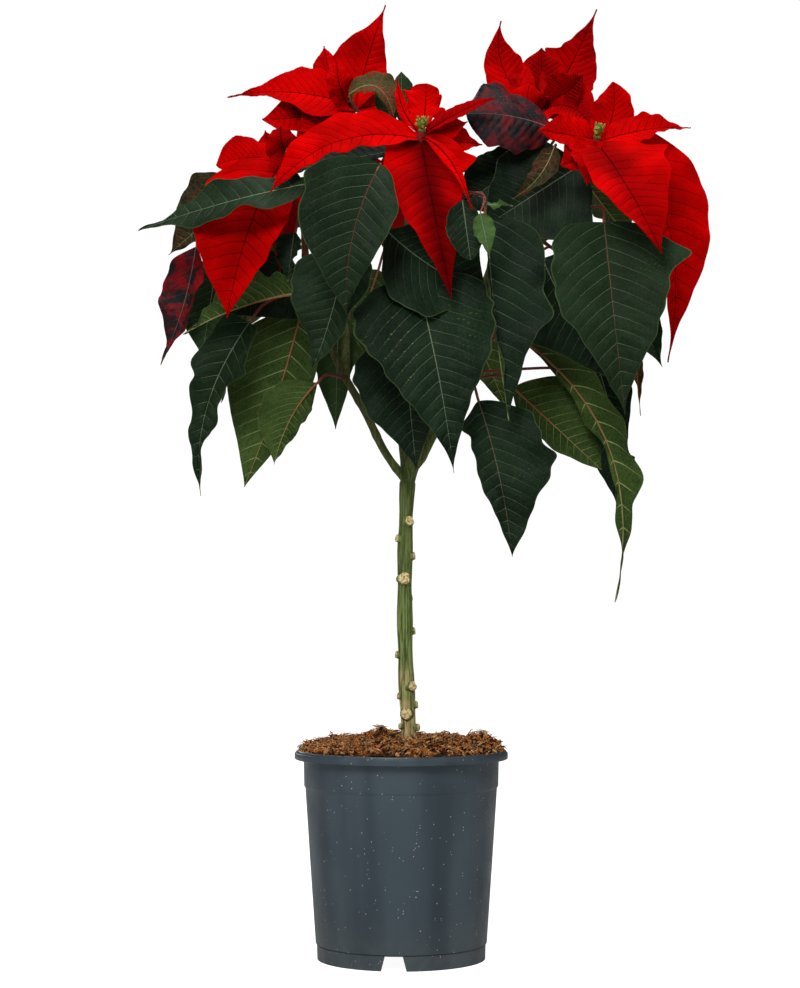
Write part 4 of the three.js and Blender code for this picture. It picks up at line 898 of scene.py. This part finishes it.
leaf("leaf_right_curled", "right", 0.72, (186, 5, 500), (192, -5, 432), (6, 6), (0.3, -0.9, 0), bow=(0, 0, 6),
     slot="bronze_leaf")
leaf("leaf_top_small", "backLeft", 0.85, (-7, -3, 664), (-17, 5, 712), (10, 10), front, peak=0.5, via=(-20, 18, 672),
     sister=dict(base=(1, -5, 662), tip=(0, 3, 712), wide=(10, 9), face=front, peak=0.6, via=(-20, 17, 671)),
     slot="light_leaf", tone=0.2)
leaf("young_shoot", "centre", 0.88, (59, -134, 574), (66, -140, 539), (8, 9), front, via=(63, -106, 592), stalk=0.8,
     sister=dict(base=(62, -114, 584), tip=(84, -122, 582), wide=(3, 3), face=(0, -0.8, 0.6), via=(62, -98, 592),
     stalk=0.7), slot="light_leaf", tone=0.9)
leaf("leaf_top_bronze", "backLeft", 0.9, (-42, -12, 690), (-6, -24, 670), (15, 15), (0.2, -0.75, 0.6), bow=(4, 0, 15),
     peak=0.45, power=1.8, via=(-26, 8, 664), slot="bronze_leaf")
leaf("leaf_left_top", "centre", 0.92, (-8, -50, 637), (-90, -56, 620), (32, 26), (0, -0.6, 0.8))
leaf("leaf_left_rolled", "left", 0.74, (-83, -66, 570), (-88, -73, 531), (14, 13), (-0.5, -0.85, 0), fold=0.5)
leaf("leaf_back_left", "back", 0.6, (-20, 140, 570), (-53, 172, 474), (32, 32), (-0.2, 0.95, 0.3))
leaf("leaf_back_right", "back", 0.7, (41, 146, 570), (94, 166, 448), (34, 34), (0.3, 0.95, 0.3))
leaf("leaf_back_low", "back", 0.42, (10, 120, 503), (14, 151, 397), (34, 34), (0, 0.98, 0.2))
leaf("leaf_back_far_left", "backLeft", 0.5, (-93, 96, 594), (-155, 112, 483), (34, 34), (-0.75, 0.6, 0.3))
leaf("leaf_back_far_right", "backRight", 0.5, (142, 94, 594), (190, 108, 478), (34, 34), (0.75, 0.6, 0.3))
leaf("leaf_back_upper_left", "backLeft", 0.75, (-67, 112, 645), (-118, 152, 591), (26, 26), (-0.5, 0.6, 0.6))
leaf("leaf_back_upper_right", "backRight", 0.8, (152, 92, 644), (202, 126, 587), (26, 26), (0.5, 0.6, 0.6))
leaf("leaf_side_left", "left", 0.6, (-112, 26, 566), (-148, 40, 446), (34, 34), (-0.95, 0.1, 0.3))
leaf("leaf_side_right", "backRight", 0.42, (132, 34, 556), (170, 44, 436), (34, 34), (0.95, 0.1, 0.3))
leaf("leaf_right_low_behind", "backRight", 0.22, (161, 44, 441), (181, 34, 350), (14, 14), (0.2, -0.95, 0.1),
     teeth=[[0.5, 1, 8]])
leaf("leaf_right_mottled", "backRight", 0.93, (125, -20, 659), (51, -43, 668), (50, 31), (-0.1, -0.85, 0.5),
     bow=(0, -8, 3), fold=-0.05, cup=-0.5, peak=0.56, power=1.5, via=(120, 3, 651), veins=12, quilt=1.6, frill=0.8,
     sister=dict(base=(120, -56, 640), tip=(86, -62, 597), wide=(10, 11), face=(-0.3, -0.9, 0.2), bow=(4, 0, -4),
     via=(122, -20, 646), skin=3), slot="mottled_leaf", tone=0.55)

# ---- blooms ----
# Red bracts, which are coloured leaves, in layers round the end of each flowering shoot, velvety and veined in a
# darker red. In their middle sit the true flowers: green and yellow cups with a lip of nectar at the side.
bract_face = blade_finish(
    "bract_face", (0.38, 0.0, 0.0), (0.68, 0.0, 0.0), (0.12, 0.0, 0.001), 0.9, width=0.045, net_size=420.0,
    shown=(0.85, 0.55, 0.1), relief=0.0009, specular=0.02, toned=(0.05, 0.0, 0.001),
)
bract_back = blade_finish(
    "bract_back", (0.26, 0.001, 0.002), (0.40, 0.002, 0.003), (0.46, 0.04, 0.03), 0.9, width=0.06, net_size=420.0,
    shown=(0.7, 0.45, 0.1), relief=0.0006, raised=True, specular=0.02,
)
bract_stalk, tree, shader, place = new_finish("red_shoot_end", 0.5, 0.35)
end_colour = tint(tree, noise(tree, place, 120.0), (0.14, 0.006, 0.008), (0.26, 0.025, 0.016))
coat(tree, shader, end_colour, noise(tree, place, 600.0), 0.0003)

cup_skin, tree, shader, place = new_finish("flower_cup_skin", 0.4, 0.5)
part_shade = marked(tree, "part_shade")
cup_colour = tint(tree, noise(tree, place, 600.0), (0.050, 0.12, 0.012), (0.16, 0.25, 0.030))
cup_colour = tint(tree, fade(tree, part_shade, 0.2, 0.5), cup_colour, (0.42, 0.38, 0.03))
cup_colour = tint(tree, fade(tree, part_shade, 0.7, 1.0), cup_colour, (0.30, 0.014, 0.010))
coat(tree, shader, cup_colour, noise(tree, place, 900.0), 0.0002)


def turn_to(points, axis):
    """Points drawn with the axis upright, leant over so that upright becomes the axis, by the shortest turn."""
    x, y, z = unit(axis)
    lean = [[1 - x * x / (1 + z), -x * y / (1 + z), -x], [-x * y / (1 + z), 1 - y * y / (1 + z), -y], [x, y, z]]
    return points @ np.array(lean)


def solid_of_turning(profile, sides, shade):
    """A closed body turned about the upright from a profile of (radius, height) pairs that starts and ends on the
    axis."""
    profile = np.asarray(profile, dtype=float)
    rings = turned(profile[1:-1], np.linspace(0, 2 * np.pi, sides, endpoint=False)).reshape(-1, sides, 3)
    points, faces = capped(rings, [[0, 0, profile[0, 1]], [0, 0, profile[-1, 1]]])
    shades = np.concatenate([np.repeat(np.asarray(shade, dtype=float)[1:-1], sides), [shade[0], shade[-1]]])
    return points, faces, (0, 0, 0), {"part_shade": shades}


def leant(body, tip, spin, shift):
    """The same body tipped about y, spun about the upright and moved, as one whole."""
    points, faces, finishes, marks = body
    ct, st, cs, sn = math.cos(tip), math.sin(tip), math.cos(spin), math.sin(spin)
    about = np.array([[ct * cs, ct * sn, -st], [-sn, cs, 0], [st * cs, st * sn, ct]])
    return points @ about + np.asarray(shift, dtype=float), faces, finishes, marks


cup = solid_of_turning([
    (0, 0), (0.9, 0.2), (1.8, 1.2), (2.2, 2.8), (2.15, 4.4), (1.8, 5.9), (1.55, 6.8), (1.7, 7.4), (1.2, 7.5),
    (0.8, 6.8), (0, 6.6),
], 16, [0, 0, 0, 0, 0, 0, 0.1, 0.3, 0.4, 0.6, 0.8])
bud = solid_of_turning([(0, 0), (0.8, 0.3), (1.3, 1.6), (1.35, 3.6), (1.1, 6.6), (0.6, 8.8), (0, 9.6)], 12, [0] * 7)
nectar_lip = solid_of_turning([(0, -0.9), (0.9, -0.6), (1.5, 0.0), (1.1, 0.5), (0.5, 0.3), (0, 0.2)], 12, [0.4] * 6)
anther = solid_of_turning(
    [(0, 0), (0.22, 0.05), (0.2, 1.3), (0.5, 1.6), (0.42, 2.2), (0, 2.4)], 6, [0.1, 0.1, 0.3, 0.9, 0.5, 0.5],
)
seat = solid_of_turning([(0, 0), (2.6, 0.1), (3.1, 1.2), (2.6, 2.8), (1.4, 3.3), (0, 3.4)], 14, [0] * 6)


def flower_cups(name, count, lot):
    """So many cups on a small seat: one upright and the others leaning out, each with a lip and a few anthers, and
    slim buds between them."""
    centre, axis = shoot_tips[name]
    bodies = [seat]
    for i in range(count):
        spin, tip = i * 2 * math.pi / count, 0.4 if i else 0.0
        shift = (math.cos(spin) * tip * 2.5, math.sin(spin) * tip * 2.5, 2.3 if i else 4.3)
        bodies.append(leant(cup, tip, spin, shift))
        bodies.append(leant(leant(nectar_lip, 1.3, 0.4 * i, (2.3, 0.3, 4.6)), tip, spin, shift))
        for k in range(4):
            way = k * 1.57 + lot.uniform(-0.4, 0.4)
            foot = (0.7 * math.cos(way), 0.7 * math.sin(way), 5.9)
            bodies.append(leant(leant(anther, 0.3, way, foot), tip, spin, shift))
    for k in range(3):
        way = k * 2.1 + lot.uniform(0, 1)
        bodies.append(leant(bud, 0.35, way, (1.6 * math.cos(way), 1.6 * math.sin(way), 3.4)))
    body = gathered(bodies)
    body["points"] = turn_to(body["points"], axis) + centre
    stands_for(mesh_piece("cups_" + name, finishes=[cup_skin], **body), "flower_cup", "flower_cups_" + name)


def bloom(name, bracts, cups):
    """A ring of bracts from the shoot's red end. Each is (tip, half-widths, the way its upper face looks, and what
    else bends it or adds painted shade along its midrib), and springs from the core a little lower than the one
    before; a steep one bows outwards by 12."""
    global leaf_number
    centre, axis = shoot_tips[name]
    line = centre - np.outer(np.linspace(core_length, -0.2, 14), axis)
    points, faces = tube(line, np.linspace(4.2, 3.2, 14), 18)
    bodies = [(points, faces, (2, 2, 2), plain_marks(np.zeros(len(points))))]
    for number, (tip, wide, face, *more) in enumerate(bracts):
        leaf_number += 1
        more = dict(*more)
        veins, rows, columns = (15, 76, 21) if max(wide) > 18 else (12, 48, 13)
        core = centre - axis * core_length * (0.08 + 0.5 * number / len(bracts))
        lean = np.asarray(tip, dtype=float) - core
        flat = unit([lean[0], lean[1], 0])
        steep = max(0.0, unit(lean)[2]) ** 2
        bow = flat * 12 * steep + np.asarray(more.get("bow", (0, 0, 0)), dtype=float)
        blade = {"peak": 0.42, "veins": veins, "quilt": 1.1, "number": leaf_number, **more}
        blade.update(base=core + flat * (1 + 2 * steep), tip=tip, wide=wide, face=face, bow=bow, thin=0.6)
        bodies.append(blade_body(blade, rows, columns, more.get("tone", 0.0)))
        bodies.append(stalk_body(core, blade, 1.3))
    finishes = [bract_face, bract_back, bract_stalk]
    stands_for(mesh_piece("bracts_" + name, finishes=finishes, **gathered(bodies)), "red_bract", "bloom_" + name)
    flower_cups(name, cups, np.random.default_rng(leaf_number))


bloom("back_left", [
    ((-141, 8, 692), (27, 28), (0, -0.85, 0.5), dict(peak=0.3, power=4, bow=(0, -15, 4))),
    ((-112, -8, 671), (22, 24), (0, -0.8, 0.3), dict(bow=(0, -3, -4), power=1.8)),
    ((-84, -16, 650), (20, 20), front, dict(power=1.8)),
    ((-96, 120, 724), (22, 22), backward),
    ((-22, 153, 709), (24, 24), backward),
    ((14, 70, 706), (18, 18), front),
    ((-52, 0, 718), (12, 12), front, dict(bow=(0, -14, -4), power=1.6)),
    ((-13, 44, 777), (19, 30), (0, -1, 0.1), dict(peak=0.38, power=3, bow=(-12, 7, 0), tone=0.1)),
    ((-65, 75, 750), (22, 22), (0.3, -0.9, 0.2)),
], 2)
bloom("centre", [
    ((20, -21, 697), (12, 16), front, dict(peak=0.66, power=1.5, teeth=[[0.45, -1, 5], [0.8, 1, 5]], frill=2.0)),
    ((-3, -29, 699), (5, 5), front),
    ((73, -62, 676), (9, 9), upward, dict(bow=(0, 0, 4), frill=0.3, valley=0.35, wave=[0.8, 1, 0.4])),
    ((52, -52, 660), (12, 12), front),
    ((64, -40, 644), (14, 14), front),
    ((53, -128, 578), (5, 5), front, dict(bow=(2, -12, 8), frill=0.5)),
    ((-100, -99, 596), (28, 24), upward, dict(bow=(-7, -5, 17), peak=0.36, power=2.1)),
    ((38, -112, 513), (34, 30), (0, -1, 0.1), dict(bow=(-2, -12, 4), teeth=[[0.27, 1, 12]], fold=0.3, peak=0.24,
     power=1.7, valley=0.85, quilt=1.3)),
    ((10, 31, 669), (20, 20), backward),
], 4)
bloom("left", [
    ((-133, -96, 500), (46, 30), (-0.1, -0.97, 0.2), dict(bow=(-4, -16, 6), peak=0.45, quilt=1.2, valley=0.3)),
    ((-96, -36, 543), (14, 14), (0, 0.9, 0.4), dict(valley=0.5, quilt=1.7)),
    ((-151, 75, 642), (20, 20), backward, dict(valley=0.5, quilt=1.7)),
    ((-93, 96, 644), (20, 20), backward, dict(valley=0.5, quilt=1.7)),
    ((-95, -48, 657), (14, 15), front, dict(bow=(0, -14, -4), power=1.7, valley=0.5)),
    ((-110, 3, 664), (13, 13), front),
    ((-148, -16, 632), (19, 17), (0, -0.85, 0.5), dict(bow=(0, -4, 5), peak=0.6, power=1.9)),
], 2)
bloom("right", [
    ((108, -58, 652), (17, 16), front, dict(power=1.8)),
    ((143, -84, 604), (17, 15), front),
    ((124, -70, 622), (17, 16), front, dict(bow=(0, 0, -4), power=1.8)),
    ((228, -47, 656), (16, 16), (0, -0.75, 0.65), dict(peak=0.38, power=2.4, bow=(0, 0, 4))),
    ((196, -125, 545), (28, 37), (0.1, -0.95, 0.3), dict(bow=(-3, -16, 6), teeth=[[0.34, 1, 7]], fold=0.3, valley=0.5,
     quilt=1.3)),
    ((208, -55, 470), (30, 40), (0.35, -0.92, 0.15), dict(bow=(28, 10, 28), peak=0.36, power=2.6, quilt=1.3)),
    ((217, 39, 642), (20, 20), backward),
    ((174, 81, 668), (22, 22), backward),
    ((169, -23, 698), (17, 18), front, dict(peak=0.5, power=1.7)),
], 3)
bloom("back_right", [
    ((163, 54, 776), (27, 20), front, dict(teeth=[[0.53, 1, 7]], power=3, peak=0.38, bow=(-6, 19, 0), tone=0.35,
     quilt=1.5)),
    ((83, 49, 765), (20, 19), front, dict(peak=0.4, power=3, bow=(-6, 9, 0), valley=0.2, quilt=1.4)),
    ((146, -10, 706), (20, 20), front, dict(power=1.8, tone=0.2, valley=0.5, quilt=1.8)),
    ((152, -14, 664), (25, 25), (0, -0.85, 0.5), dict(bow=(0, -6, 10), power=1.8, valley=0.4, quilt=1.8)),
    ((152, 133, 704), (22, 22), backward, dict(tone=0.15, valley=0.5, quilt=1.8)),
    ((100, 146, 707), (22, 22), backward, dict(tone=0.25, valley=0.5, quilt=1.8)),
    ((117, 56, 744), (24, 27), front, dict(power=1.7, tone=0.25, valley=0.3, quilt=1.6)),
    ((86, 50, 722), (13, 18), upward, dict(valley=0.4, quilt=1.6)),
    ((105, 9, 704), (18, 20), front, dict(bow=(0, -2, -4), power=1.8, tone=0.15, quilt=1.5)),
], 2)
bloom("back", [
    ((-53, 158, 660), (20, 20), backward),
    ((63, 160, 663), (20, 20), backward),
    ((-63, 140, 606), (22, 22), (-0.3, 0.9, 0.3)),
    ((73, 146, 610), (22, 22), (0.3, 0.9, 0.3)),
    ((5, 168, 556), (28, 28), (0, 0.95, 0.3)),
    ((-2, 72, 676), (18, 18), backward, dict(bow=(0, -14, -6))),
    ((8, 172, 652), (22, 22), backward),
], 2)
